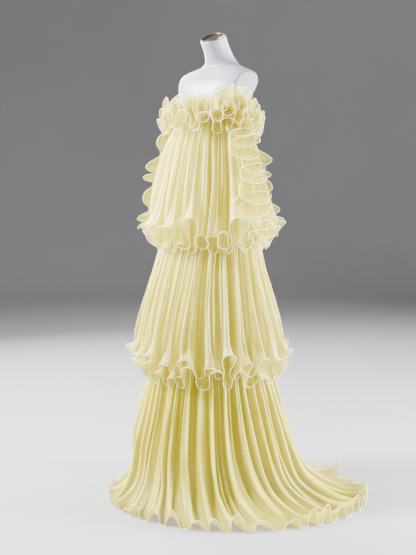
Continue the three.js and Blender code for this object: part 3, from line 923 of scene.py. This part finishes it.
class DressClothSettings(bpy.types.PropertyGroup):
    """The cloth: how it folds, and its colours."""

    gather_depth: factor("Gather Depth", "Depth of the fine gathers beside that in the tables", 1.0, 0.0, 2.0)
    pleat_depth: factor("Pleat Depth", "Depth of the pleats beside that in the tables", 1.0, 0.0, 2.0)
    flute_depth: factor("Flute Depth", "Depth of the hem's flutes beside that in the tables", 1.0, 0.0, 2.0)
    flute_lift: factor("Flute Lift", "How far flutes lift the hem, beside that in the tables", 1.0, 0.0, 2.0)
    overhang: factor("Overhang", "How far a flute bulges over its own sides at the hem", 1.0, 0.0, 1.5)
    frill: length("Frill", "Height of the little waves of a stretched hem", 0.0011, 0.0, 0.01)
    hem_radius: length("Hem Radius", "Radius of the rolled edge", 0.0013, 0.0005, 0.004)
    # The cloth is painted paler on its crests, as painted highlight, and darker in its folds, as painted shade, besides
    # the colour that layered cloth builds up there
    crest_colour: colour("Crest Colour", "Colour of the cloth on its crests and rims", (0.99, 0.965, 0.37))
    layered_and_shaded_fold_colour: colour("Fold Colour", "Colour that the cloth builds up to in its folds", (0.60, 0.51, 0.0005))
    under_colour: colour("Under Colour", "Colour of the bodice and the underskirt", (0.74, 0.65, 0.003))
    cover: factor("Cover", "How much one layer of sheer cloth hides", 0.54, 0.1)
    rim_clear: factor("Rim Clearness", "How much less a rim hides, beside the rolled edge", 0.36, 0.0, 0.6)
    glow: factor("Glow", "Light that many sheer layers pass on to each other", 0.06)


class DressFormSettings(bpy.types.PropertyGroup):
    """The dress form and its stand."""

    shell_colour: colour("Shell Colour", "Colour of the form's shell", (0.30, 0.308, 0.366))
    cap_colour: colour("Cap Colour", "Colour of the cap on the neck", (0.20, 0.14, 0.10))
    stand_colour: colour("Stand Colour", "Colour of the pole and base", (0.56, 0.57, 0.58))


class DressStageSettings(bpy.types.PropertyGroup):
    """The floor, the lamps and the camera."""

    floor_colour: colour("Floor Colour", "Colour of the floor", (0.36, 0.36, 0.38))
    distance: length("Camera Distance", "How far the camera stands from the pole", 4.2, 1.0, 20.0)
    height: length("Camera Height", "How high the camera stands", 1.3, 0.1, 4.0)
    azimuth: FloatProperty(
        name="Camera Azimuth", description="How far round to the wearer's left the camera stands",
        default=math.radians(38), subtype="ANGLE",
    )
    pitch: FloatProperty(
        name="Camera Pitch", description="How far the camera looks down", default=math.radians(5.53), subtype="ANGLE",
    )
    lens: FloatProperty(
        name="Lens", description="The camera's focal length", default=67.76, min=10.0, max=300.0, unit="CAMERA",
    )
    brightness: factor("Brightness", "Strength of all the lamps", 1.0, 0.0, 10.0)


def settle(made, replaced=()):
    """Puts a finished piece on the root body and hides the nodes that it stands for."""
    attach(made, "root")
    if replaced:
        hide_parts(*replaced)


def wear(made, key):
    """Gives an object a material of the dress as its only one."""
    made.data.materials.clear()
    made.data.materials.append(material(key))


def roll_hem(name, lines):
    """A rolled edge along each line of points."""
    mesh = bpy.data.meshes.new(name)
    starts = np.cumsum([0] + [len(line) for line in lines])
    edges = [(i, i + 1) for first, end in zip(starts.tolist(), starts[1:].tolist()) for i in range(first, end - 1)]
    mesh.from_pydata(np.concatenate(lines).tolist(), edges, [])
    made = linked(name, mesh)
    radius = bpy.context.scene.dress_cloth.hem_radius
    recipe("Rolled Hem", rolled_hem_recipe).cook(made, {"Radius": radius, "Sides": HEM_SIDES, "Cloth": material("hem")})
    settle(made)
    return made


def hang_skirt(name, panel, skirt, shape, seed, flutes, cloth):
    """One panel of a tier, an inner layer or the underskirt, with its rolled hem."""
    node = f"{name}_{panel}"
    points, uv, marks = skirt_surface(skirt, panel, shape, seed, flutes, bpy.context.scene.dress_cloth)
    made = grid_object(node + "_cloth", points, uv, marks)
    wear(made, cloth)
    settle(made, [node])
    hem = roll_hem(node + "_hem", [points[-1]])


STRIP_CROWDING = 0.85  # below 1, a strip's rows crowd towards its free edge
STRIP_UV = (2.2, 0.08)  # how much longer a ruffle's free edge is than its root, and its height, in metres
STRIP_START = 0.05  # how high a strip is before the recipe throws it into flutes


def strip_grid(rows, **facts):
    """A ruffle's flat strip, with the marks that the ruffle recipe reads. The facts are those marks, one value or
    vector for each column of the strip."""
    root, turns = facts["root"], facts["turns"]
    columns = len(root)
    share = (np.linspace(0, 1, rows) ** STRIP_CROWDING)[:, None] + np.zeros(columns)
    swell = 0.5 + 0.5 * np.cos(TURN * turns)
    marks = {}
    for mark, values in facts.items():
        marks[mark] = np.broadcast_to(values, (rows, *values.shape)).reshape(-1, *values.shape[1:])
    marks["share"] = share.ravel()
    # The fold mark: low at the root, where the strip is painted darker as painted shade against the dress, and high on
    # the flutes' crests, which are painted paler as painted highlight
    marks["fold"] = (0.62 * share ** 1.2 + 0.32 * swell * share ** 1.5).ravel()
    marks["rim"] = 0.9 * ease(share, 0.55, 1.0).ravel()
    uv = stacked(row_lie(root) * STRIP_UV[0], share * STRIP_UV[1]).reshape(-1, 2)
    points = (root + share[..., None] * STRIP_START * facts["fall"]).reshape(-1, 3)
    return points, grid_quads(rows, columns), uv, marks


def throw_ruffles(node, strips, sizes):
    """A piece of one or more ruffle strips. Each strip has its own recipe values."""
    finished = []
    rims = []
    for (points, quads, uv, marks), values in zip(strips, sizes):
        made = mesh_object(node + "_strip", points, quads, uv, marks)
        recipe("Ruffle", ruffle_recipe).cook(made, {**values, "Cloth": material("ruffle")})
        placed = coordinates(made)
        columns = int(np.count_nonzero(marks["share"] == 1))
        rims.append(placed[-columns:])
        finished.append((placed, quads, uv, {mark: marks[mark] for mark in ("fold", "rim")}))
        bpy.data.meshes.remove(made.data)
    ruffle = mesh_object(node + "_cloth", *joined(finished))
    wear(ruffle, "ruffle")
    settle(ruffle, [node])
    hem = roll_hem(node + "_hem", rims)
    width = sum(float(row_lie(rim)[-1]) for rim in rims)
    flat = (round(width, 2), round(surface_of(ruffle) / width, 3))


def surface_of(made):
    """The area of an object's faces."""
    areas = np.empty(len(made.data.polygons), np.float32)
    made.data.polygons.foreach_get("area", areas)
    return float(areas.sum())


UP = np.array([0.0, 0.0, 1.0])
BLOOM = math.radians(325)  # where the neckline's ruffles are tallest

# How a neckline ruffle's slope changes on its way round: by how many degrees, in how many waves, how far these turn
# from strip to strip, and where they start
TOSS = ((15, 3, 2.1, 0), (11, 8, 1.3, 0.7))

# The neckline's strips: where each is sewn on and how far off the form, how steeply it stands, in degrees, its
# flutes' list, its recipe values, and how much its slope varies
NECK_STRIPS = {
    "neck_ruffle_upper": (
        {"at": 1571, "out": 5, "fall": 36, "flutes": 0, "reach": 0.050, "wave": 0.020, "lift": 0.0, "toss": 1.0},
        {"at": 1564, "out": 6, "fall": 10, "flutes": 1, "reach": 0.064, "wave": 0.030, "lift": 0.008, "toss": 0.8},
        {"at": 1562, "out": 7, "fall": 0, "flutes": 4, "reach": 0.062, "wave": 0.034, "lift": 0.0, "toss": 0.9},
    ),
    "neck_ruffle_lower": (
        {"at": 1554, "out": 8, "fall": -16, "flutes": 2, "reach": 0.074, "wave": 0.036, "lift": 0.006, "toss": 0.6},
        {"at": 1544, "out": 9, "fall": -38, "flutes": 3, "reach": 0.082, "wave": 0.034, "lift": 0.014, "toss": 0.5},
    ),
}


def neck_strip(panel, facts, columns, rows):
    """One strip round the neckline, over one panel."""
    at, out, fall, flutes, reach = (facts[key] for key in ("at", "out", "fall", "flutes", "reach"))
    angle = panel_angles(panel, columns)[1:-1]
    heights = at - neck_dip(angle)
    width, depth, y = form_section(heights).T[:3]
    width, depth = width + out, depth + out
    root = stacked(width * np.cos(angle), depth * np.sin(angle) + y, heights) * MM
    outward = unit(stacked(np.cos(angle) / width, np.sin(angle) / depth, 0))
    folds = NECK_FLUTES[flutes]
    size = folds.size(angle)
    near = np.cos(angle - BLOOM)
    toss = facts["toss"] * sum(
        far * np.sin(waves * angle + turned * flutes + start) for far, waves, turned, start in TOSS
    )
    slope = np.radians(fall * (0.75 + 0.25 * near) + toss)[:, None]
    from_fan = np.mod(np.degrees(angle) - FAN["angle"] + 180, 360) - 180
    clearing = 1 - FAN["clearing"] * np.exp(-(from_fan / FAN["cleared"]) ** 2)
    tall = (0.6 + 0.4 * size) * (0.95 + 0.15 * near) * clearing
    length_here = np.linalg.norm(np.gradient(root, angle[1] - angle[0], axis=0), axis=-1)
    return strip_grid(
        rows, root=root, turns=folds.phase(angle) / TURN, size=size,
        fall=(np.cos(slope) * outward + np.sin(slope) * UP) * tall[:, None],
        stand=np.cos(slope) * UP - np.sin(slope) * outward,
        run=unit(np.gradient(root, axis=0)),
        pitch=folds.pitch(angle) * length_here * (1 + 0.5 * reach / 0.13 * np.cos(slope[:, 0])),
    )


# The fan of petals that rises from the wearer's left front: where its centre is, the arc that it spreads over in
# degrees, how many petals it has, how far it leans out, how much room the other ruffles leave it, how big the
# petals are, and its recipe values
FAN = {
    "at": 1540, "angle": 330, "out": 22, "radius": 8, "arc": (-20, 185), "petals": 4, "lean": 0.40,
    "clearing": 0.25, "cleared": 15, "sizes": (0.7, 0.9, 1.2, 1.1, 0.8),
    "values": {"Reach": 0.090, "Wave Height": 0.022, "Lift": -0.020, "Overhang": 0.20, "Curl": 0.0},
}


def fan_strip(columns, rows):
    """A short strip gathered round a point, so that it stands up in a fan of petals."""
    width, depth, y = form_section(FAN["at"])[0][:3]
    angle = math.radians(FAN["angle"])
    outward = np.array([math.cos(angle), math.sin(angle), 0.0])
    across = np.array([-math.sin(angle), math.cos(angle), 0.0])
    centre = (width + FAN["out"]) * math.cos(angle), (depth + FAN["out"]) * math.sin(angle) + y, FAN["at"]
    first, last = (math.radians(end) for end in FAN["arc"])
    spread = np.linspace(first, last, columns)[:, None]
    spoke = np.cos(spread) * across + np.sin(spread) * UP
    turns = FAN["petals"] * (spread[:, 0] - first) / (last - first)
    size = np.interp(turns, np.arange(FAN["petals"] + 1.0), FAN["sizes"])
    width_here = (last - first) / FAN["petals"] * (FAN["radius"] * MM + FAN["values"]["Reach"])
    return strip_grid(
        rows, root=(centre + FAN["radius"] * spoke) * MM, turns=turns + 0.5, size=size,
        fall=unit(spoke + FAN["lean"] * outward) * (0.5 + 0.5 * size)[:, None],
        stand=unit(outward - FAN["lean"] * spoke),
        run=np.cos(spread) * UP - np.sin(spread) * across,
        pitch=width_here + 0 * turns,
    )


# The side ruffles' strips, sewn on down a seam of the top tier. A looped one is thrown across and back so that
# its loops hang over each other, and a standing one stands out from the seam in flutes: how far from the seam
# its middle is at the top and at the foot, how far its root swings, how steeply it falls and how far it turns
# to the side, and its recipe values
LOOPED = {
    "middle": (-28, 6), "root": 26, "slope": 24, "aside": 0.0,
    "values": {"Reach": 0.060, "Wave Height": 0.050, "Lift": 0.0, "Overhang": 0.25, "Bulge": 0.026,
               "Pouch": 0.050, "Level": 0.75, "Curl": 0.0, "Ripple": 0.005},
}
STANDING = {
    "middle": (22, 26), "root": 3, "slope": 12, "aside": 0.60,
    "values": {"Reach": 0.044, "Wave Height": 0.026, "Lift": -0.024, "Overhang": 0.15, "Curl": 0.0},
}
# Each ruffle's kind, its number of lobes, how far it starts below the neckline's ruffles, and its size at the
# top and at the foot
SIDE_STRIPS = {
    ("left", "fore"): (LOOPED, 9, 0, 0.85, 1.15),
    ("left", "aft"): (STANDING, 7, 22, 0.85, 1.0),
    ("right", "fore"): (STANDING, 6, 18, 0.75, 0.85),
    ("right", "aft"): (STANDING, 6, 32, 0.8, 0.85),
}
SIDE_TOP, SIDE_FOOT = 1522, 1094
SIDE_OUT = (5, 0.3)  # how far the seam's root lies off the tier, and how much more for each millimetre of pleat
SIDE_WANDER = 0.8  # how far the root strays at each lobe, as a share of its swing
SIDE_SIZES = (0.5, 1.45)  # the lobes' smallest and largest sizes
SIDE_SAG = (0.24, 2.4)  # how unevenly the lobes follow each other: how far, and how fast that changes


def side_strip(side, way, columns, rows, seed):
    """One side ruffle's strip, sewn on down a seam of the top tier."""
    facts, lobes, drop, first, last = SIDE_STRIPS[side, way]
    seam = math.radians(PANELS["back"][0] if side == "left" else PANELS["front"][0])
    back = 1 if side == "left" else -1
    random = np.random.default_rng(seed)
    turns = np.linspace(0, lobes, columns)
    stops = np.arange(lobes + 1.0)
    wander = np.interp(turns, stops, random.uniform(-SIDE_WANDER, SIDE_WANDER, lobes + 1) * facts["root"])
    sunk = turns + SIDE_SAG[0] * np.sin(SIDE_SAG[1] * turns + seed)
    heights = SIDE_TOP - drop + (SIDE_FOOT - SIDE_TOP) * sunk / lobes
    rear = 1 if way == "aft" or facts is LOOPED else -1
    middle = rear * np.interp(turns, (0, lobes), facts["middle"])
    grown = first + (last - first) * turns / lobes
    aside = middle + wander - facts["root"] * grown * np.cos(TURN * turns)
    table = TIER_1["rows"][::-1]
    level = smooth_rows(table, [row[0] for row in table], heights)
    width, depth = (level[:, 1:3] + SIDE_OUT[0] + SIDE_OUT[1] * level[:, 6:7]).T
    angle = seam + back * aside / (level[:, 1] * 0.95)
    cos, sin = np.cos(angle), np.sin(angle)
    outward = unit(stacked(cos, sin, 0.1))
    rearward = stacked(-sin, cos, 0) * back
    slope = math.radians(facts["slope"])
    grown = grown[:, None]
    root = stacked(width * cos, depth * sin + level[:, 4], heights) * MM
    return strip_grid(
        rows, root=root, turns=turns, size=np.interp(turns, stops, random.uniform(*SIDE_SIZES, lobes + 1)),
        fall=unit(outward * math.cos(slope) - UP * math.sin(slope) + rearward * rear * facts["aside"]) * grown,
        stand=(-1 if facts is LOOPED else rear) * rearward * grown,
        run=0 * root - UP,
        pitch=(SIDE_TOP - SIDE_FOOT) / lobes * MM + 0 * turns,
    )


def closed_rings(rings):
    """The points and faces of a body from its level rings of points, the lowest first: quads between the rings and
    a fan over each end."""
    count, sides = rings.shape[:2]
    ends = [rings[0].mean(axis=0), rings[-1].mean(axis=0)]
    faces = ring_faces(count, sides, count * sides + 1)
    faces += [(count * sides, (j + 1) % sides, j) for j in range(sides)]
    return np.concatenate([rings.reshape(-1, 3), ends]), faces


def ring_faces(count, sides, top):
    """Quads between rings of points, and a fan from the last ring to the point of number top."""
    faces = []
    for j in range(sides):
        k = (j + 1) % sides
        for low in range(0, (count - 1) * sides, sides):
            high = low + sides
            faces.append((low + j, low + k, high + k, high + j))
        last = (count - 1) * sides
        faces.append((last + j, last + k, top))
    return faces


def turned_object(name, profile, corner, sides, centre=(0, 0, 0), tilt=0.0):
    """A body with that profile of (radius, height) in millimetres, whose ends lie on the axis. Its corners are
    rounded, and it is tilted about x and put in its place."""
    radius, height = np.array(rounded(profile, corner)[1:-1]).T[:, :, None]
    angle = TURN * np.arange(sides) / sides
    points, faces = closed_rings(stacked(radius * np.cos(angle), radius * np.sin(angle), height))
    cos, sin = math.cos(tilt), math.sin(tilt)
    turned = points @ np.array([[1, 0, 0], [0, cos, sin], [0, -sin, cos]])
    return solid_object(name, (turned + centre) * MM, faces)


def rounded(profile, radius, steps=4):
    """A profile with its inner corners rounded."""
    profile = [np.asarray(p, float) for p in profile]
    made = [profile[0]]
    for before, corner, after in zip(profile, profile[1:], profile[2:]):
        back, ahead = before - corner, after - corner
        reach = min(radius, 0.45 * np.linalg.norm(back), 0.45 * np.linalg.norm(ahead))
        first = corner + back / np.linalg.norm(back) * reach
        last = corner + ahead / np.linalg.norm(ahead) * reach
        for step in range(steps + 1):
            t = step / steps
            made.append(first * (1 - t) ** 2 + 2 * corner * t * (1 - t) + last * t * t)
    made.append(profile[-1])
    return made


def solid_object(name, points, faces):
    """An object from points and faces of any number of sides."""
    mesh = bpy.data.meshes.new(name)
    mesh.from_pydata(points.tolist(), [], faces)
    mesh.shade_smooth()
    return linked(name, mesh)


class DRESS_OT_stage(bpy.types.Operator):
    """Lay the floor, set the lamps and place the camera"""

    bl_idname = "dress.stage"
    bl_label = "Stage"

    def execute(self, context):
        stage = context.scene.dress_stage
        angle = TURN * np.arange(FLOOR_SIDES) / FLOOR_SIDES
        sweep = np.linspace(0, math.pi / 2, 13)
        bend, rise = FLOOR_FLAT + WALL_CURVE * np.sin(sweep), WALL_CURVE * (1 - np.cos(sweep))
        radii = np.concatenate([[2.0, 4.0, 6.0], bend, [FLOOR_FLAT + WALL_CURVE]])[::-1, None]
        levels = np.concatenate([[0.0, 0.0, 0.0], rise, [WALL_TOP]])[::-1, None]
        points = stacked(radii * np.cos(angle), radii * np.sin(angle), levels).reshape(-1, 3)
        faces = ring_faces(len(radii), FLOOR_SIDES, len(points))
        floor = solid_object("studio_floor", np.concatenate([points, [[0, 0, 0]]]), faces)
        floor.data.materials.append(floor_material("studio_floor", stage.floor_colour))

        world = bpy.data.worlds.new("studio")
        world.use_nodes = True
        background = world.node_tree.nodes["Background"]
        background.inputs["Color"].default_value = SKY_COLOUR
        background.inputs["Strength"].default_value = SKY_STRENGTH
        context.scene.world = world
        for name, place, size, power, colour in LAMPS:
            data = bpy.data.lights.new(name, "AREA")
            data.shape = "RECTANGLE"
            data.size, data.size_y = size
            data.energy = power * stage.brightness
            data.color = colour
            lamp = linked(name, data)
            lamp.location = place
            lamp.rotation_euler = aim(place, LAMP_TARGET)

        data = bpy.data.cameras.new("camera")
        data.lens = stage.lens
        data.sensor_width = CAMERA_SENSOR
        camera = linked("camera", data)
        cos, sin = math.cos(stage.azimuth), math.sin(stage.azimuth)
        slide = CAMERA_SLIDE * MM
        camera.location = (stage.distance * sin + slide * cos, slide * sin - stage.distance * cos, stage.height)
        camera.rotation_euler = (math.pi / 2 - stage.pitch, 0, stage.azimuth)
        context.scene.camera = camera
        return {"FINISHED"}


def aim(place, target):
    """The rotation that points a lamp's -Z from place at target."""
    x, y, z = (b - a for a, b in zip(place, target))
    return (math.atan2(math.hypot(x, y), -z), 0, math.atan2(y, x) - math.pi / 2)


class DRESS_OT_form(bpy.types.Operator):
    """Make the form's smooth shell and the cap on its neck"""

    bl_idname = "dress.form"
    bl_label = "Form"

    def execute(self, context):
        heights = np.concatenate([np.linspace(1010, 1590, 48, endpoint=False), np.linspace(1590, 1845, 92)])
        points, faces = closed_rings(torso_points(heights, TURN * np.arange(FORM_SIDES) / FORM_SIDES))
        shell = solid_object("form_shell", points * MM, faces)
        # The seam mark also carries the arm plates' painted shade
        seam = shell.data.attributes.new("seam", "FLOAT", "POINT")
        seam.data.foreach_set("value", form_seams_and_plate_shade(points).astype(np.float32))
        wear(shell, "shell")
        settle(shell, ["form_torso"])

        radius, inner, high, thick = CAP["radius"], CAP["radius"] - CAP["rim"], CAP["rim_high"], CAP["thick"]
        profile = [(0, 0), (radius, 0), (radius, high), (inner, high), (inner, thick), (0, thick)]
        tilt = math.atan(TORSO[-1][5])
        centre = (0, TORSO[-1][3] - CAP["gap"] * math.sin(tilt), TORSO[-1][0] + CAP["gap"] * math.cos(tilt))
        cap = turned_object("neck_cap", profile, CAP["edge"], CAP["sides"], centre, tilt)
        wear(cap, "cap")
        settle(cap, ["form_neck_cap"])
        return {"FINISHED"}


def form_seams_and_plate_shade(points):
    """How strongly the form's mould seams, round the base of the neck and down the centre, darken it at points in
    millimetres. The arm plates are painted darker all over, as painted shade on their flat faces."""
    x, y, z = points.T
    neck = np.exp(-((z - 1752 - 0.35 * (y - 64)) / 1.6) ** 2)
    centre = 0.5 * np.exp(-(x / 1.5) ** 2) * ((y < 20) & (z > 1590))
    plate_x = ARM_PLATE["x"] + (y - ARM_PLATE["y"]) * ARM_PLATE["toe_in"]
    plate = (np.abs(x) > plate_x - 0.3) & (z > ARM_PLATE["from"])
    return np.clip(0.6 * neck + 0.6 * centre + plate, 0, 1)


# The stand's pieces: the node that each stands for, its profile, and its corners' radius and number of sides
STAND = {
    "stand_pole": ("form_pole", ((0, 40.3), (16, 40.3), (16, 1009.7), (0, 1009.7)), 0.8, 64),
    "stand_base": ("form_base", ((0, 0), (180, 0), (180, 6), (176, 10), (30, 10), (30, 40), (0, 40)), 1.5, 128),
}


class DRESS_OT_stand(bpy.types.Operator):
    """Make the pole and the round base under the form"""

    bl_idname = "dress.stand"
    bl_label = "Stand"

    def execute(self, context):
        for name, (node, profile, corner, sides) in STAND.items():
            made = turned_object(name, profile, corner, sides)
            wear(made, "stand")
            settle(made, [node])
        return {"FINISHED"}


class DRESS_OT_bodice(bpy.types.Operator):
    """Make the close bodice that carries the top tier"""

    bl_idname = "dress.bodice"
    bl_label = "Bodice"

    def execute(self, context):
        for panel, columns in (("front", 110), ("back", 140)):
            angle = panel_angles(panel, columns)[1:-1]
            points = np.stack([
                torso_points(np.linspace(NECK_FROM - dip, BODICE_FOOT, 60), column, BODICE_OUT)[:, 0]
                for dip, column in zip(neck_dip(angle), angle[:, None])
            ], axis=1) * MM
            drop = NECK_FROM * MM - points[..., 2]
            marks = {"fold": 0.35 + 0 * drop, "rim": 0 * drop}
            made = grid_object(f"bodice_{panel}_cloth", points, stacked(row_lie(points[20]), drop), marks)
            wear(made, "under")
            settle(made, [f"bodice_{panel}"])
            trim = roll_hem(f"bodice_{panel}_edge", [points[0]])
        return {"FINISHED"}


class DRESS_OT_underskirt(bpy.types.Operator):
    """Make the underskirt that carries the two lower tiers"""

    bl_idname = "dress.underskirt"
    bl_label = "Underskirt"

    def execute(self, context):
        for panel, columns in (("front", 160), ("back", 200)):
            hang_skirt(
                "underskirt", panel, UNDERSKIRT, (44, columns), 500, UNDER_FLUTES, "under",
            )
        return {"FINISHED"}


class DRESS_OT_tiers(bpy.types.Operator):
    """Make the three gathered tiers with their fluted hems"""

    bl_idname = "dress.tiers"
    bl_label = "Tiers"

    def execute(self, context):
        for name, skirt, rows, columns, seed, flutes, cloth, carrier in (
            ("tier_1", TIER_1, 84, {"front": 380, "back": 500}, 11, FLUTES_1, "sheer", "bodice"),
            ("tier_2", TIER_2, 88, {"front": 360, "back": 470}, 22, FLUTES_2, "sheer", "underskirt"),
            ("tier_3", TIER_3, 104, {"front": 420, "back": 560}, 33, FLUTES_3, "inner", "underskirt"),
        ):
            for panel in PANELS:
                hang_skirt(
                    name, panel, skirt, (rows, columns[panel]), seed, flutes, cloth,
                )
        return {"FINISHED"}


class DRESS_OT_inner_layers(bpy.types.Operator):
    """Make the layers whose hems show below those of the two upper tiers"""

    bl_idname = "dress.inner_layers"
    bl_label = "Inner Layers"

    def execute(self, context):
        for name, skirt, seed, flutes, carrier in (
            ("tier_1_inner", INNER_1, 44, INNER_FLUTES_1, "bodice"),
            ("tier_2_inner", INNER_2, 55, INNER_FLUTES_2, "underskirt"),
        ):
            for panel, columns in (("front", 210), ("back", 280)):
                hang_skirt(
                    name, panel, skirt, (48, columns), seed, flutes, "inner",
                )
        return {"FINISHED"}


class DRESS_OT_neck_ruffles(bpy.types.Operator):
    """Make the ruffles round the neckline"""

    bl_idname = "dress.neck_ruffles"
    bl_label = "Neckline Ruffles"

    def execute(self, context):
        for name, facts in NECK_STRIPS.items():
            for panel, columns in (("front", 280), ("back", 350)):
                strips = [neck_strip(panel, f, columns, 14) for f in facts]
                values = [
                    {"Reach": f["reach"], "Wave Height": f["wave"], "Lift": f["lift"], "Overhang": 1.05} for f in facts
                ]
                if (name, panel) == ("neck_ruffle_upper", "front"):
                    strips.append(fan_strip(200, 18))
                    values.append(FAN["values"])
                throw_ruffles(f"{name}_{panel}", strips, values)
        return {"FINISHED"}


class DRESS_OT_side_ruffles(bpy.types.Operator):
    """Make the ruffles that fall down the side seams of the top tier"""

    bl_idname = "dress.side_ruffles"
    bl_label = "Side Ruffles"

    def execute(self, context):
        for number, (side, way) in enumerate(SIDE_STRIPS):
            strip = side_strip(side, way, 560, 20, 70 + number)
            values = SIDE_STRIPS[side, way][0]["values"]
            throw_ruffles(f"cascade_{side}_{way}", [strip], [values])
        return {"FINISHED"}


STEPS = (
    DRESS_OT_stage, DRESS_OT_form, DRESS_OT_stand, DRESS_OT_bodice, DRESS_OT_underskirt, DRESS_OT_tiers,
    DRESS_OT_inner_layers, DRESS_OT_neck_ruffles, DRESS_OT_side_ruffles,
)


class DRESS_PT_panel(bpy.types.Panel):
    """The dress's sizes, colours and steps"""

    bl_idname = "DRESS_PT_panel"
    bl_label = "Evening Dress"
    bl_space_type = "VIEW_3D"
    bl_region_type = "UI"
    bl_category = "Dress"

    def draw(self, context):
        layout = self.layout
        for group in ("dress_cloth", "dress_form", "dress_stage"):
            settings = getattr(context.scene, group)
            box = layout.box()
            for name in settings.__annotations__:
                box.prop(settings, name)
        for step in STEPS:
            layout.operator(step.bl_idname)


CLASSES = (DressClothSettings, DressFormSettings, DressStageSettings, *STEPS, DRESS_PT_panel)


def register():
    """Registers the classes and hangs the settings on the scene."""
    for cls in CLASSES:
        bpy.utils.register_class(cls)
    bpy.types.Scene.dress_cloth = PointerProperty(type=DressClothSettings)
    bpy.types.Scene.dress_form = PointerProperty(type=DressFormSettings)
    bpy.types.Scene.dress_stage = PointerProperty(type=DressStageSettings)


def unregister():
    """Takes back what register did."""
    del bpy.types.Scene.dress_stage
    del bpy.types.Scene.dress_form
    del bpy.types.Scene.dress_cloth
    for cls in reversed(CLASSES):
        bpy.utils.unregister_class(cls)


def main():
    """Makes the dress."""
    register()
    for step in STEPS:
        group, action = step.bl_idname.split(".")
        getattr(getattr(bpy.ops, group), action)()


if __name__ == "__main__":
    main()
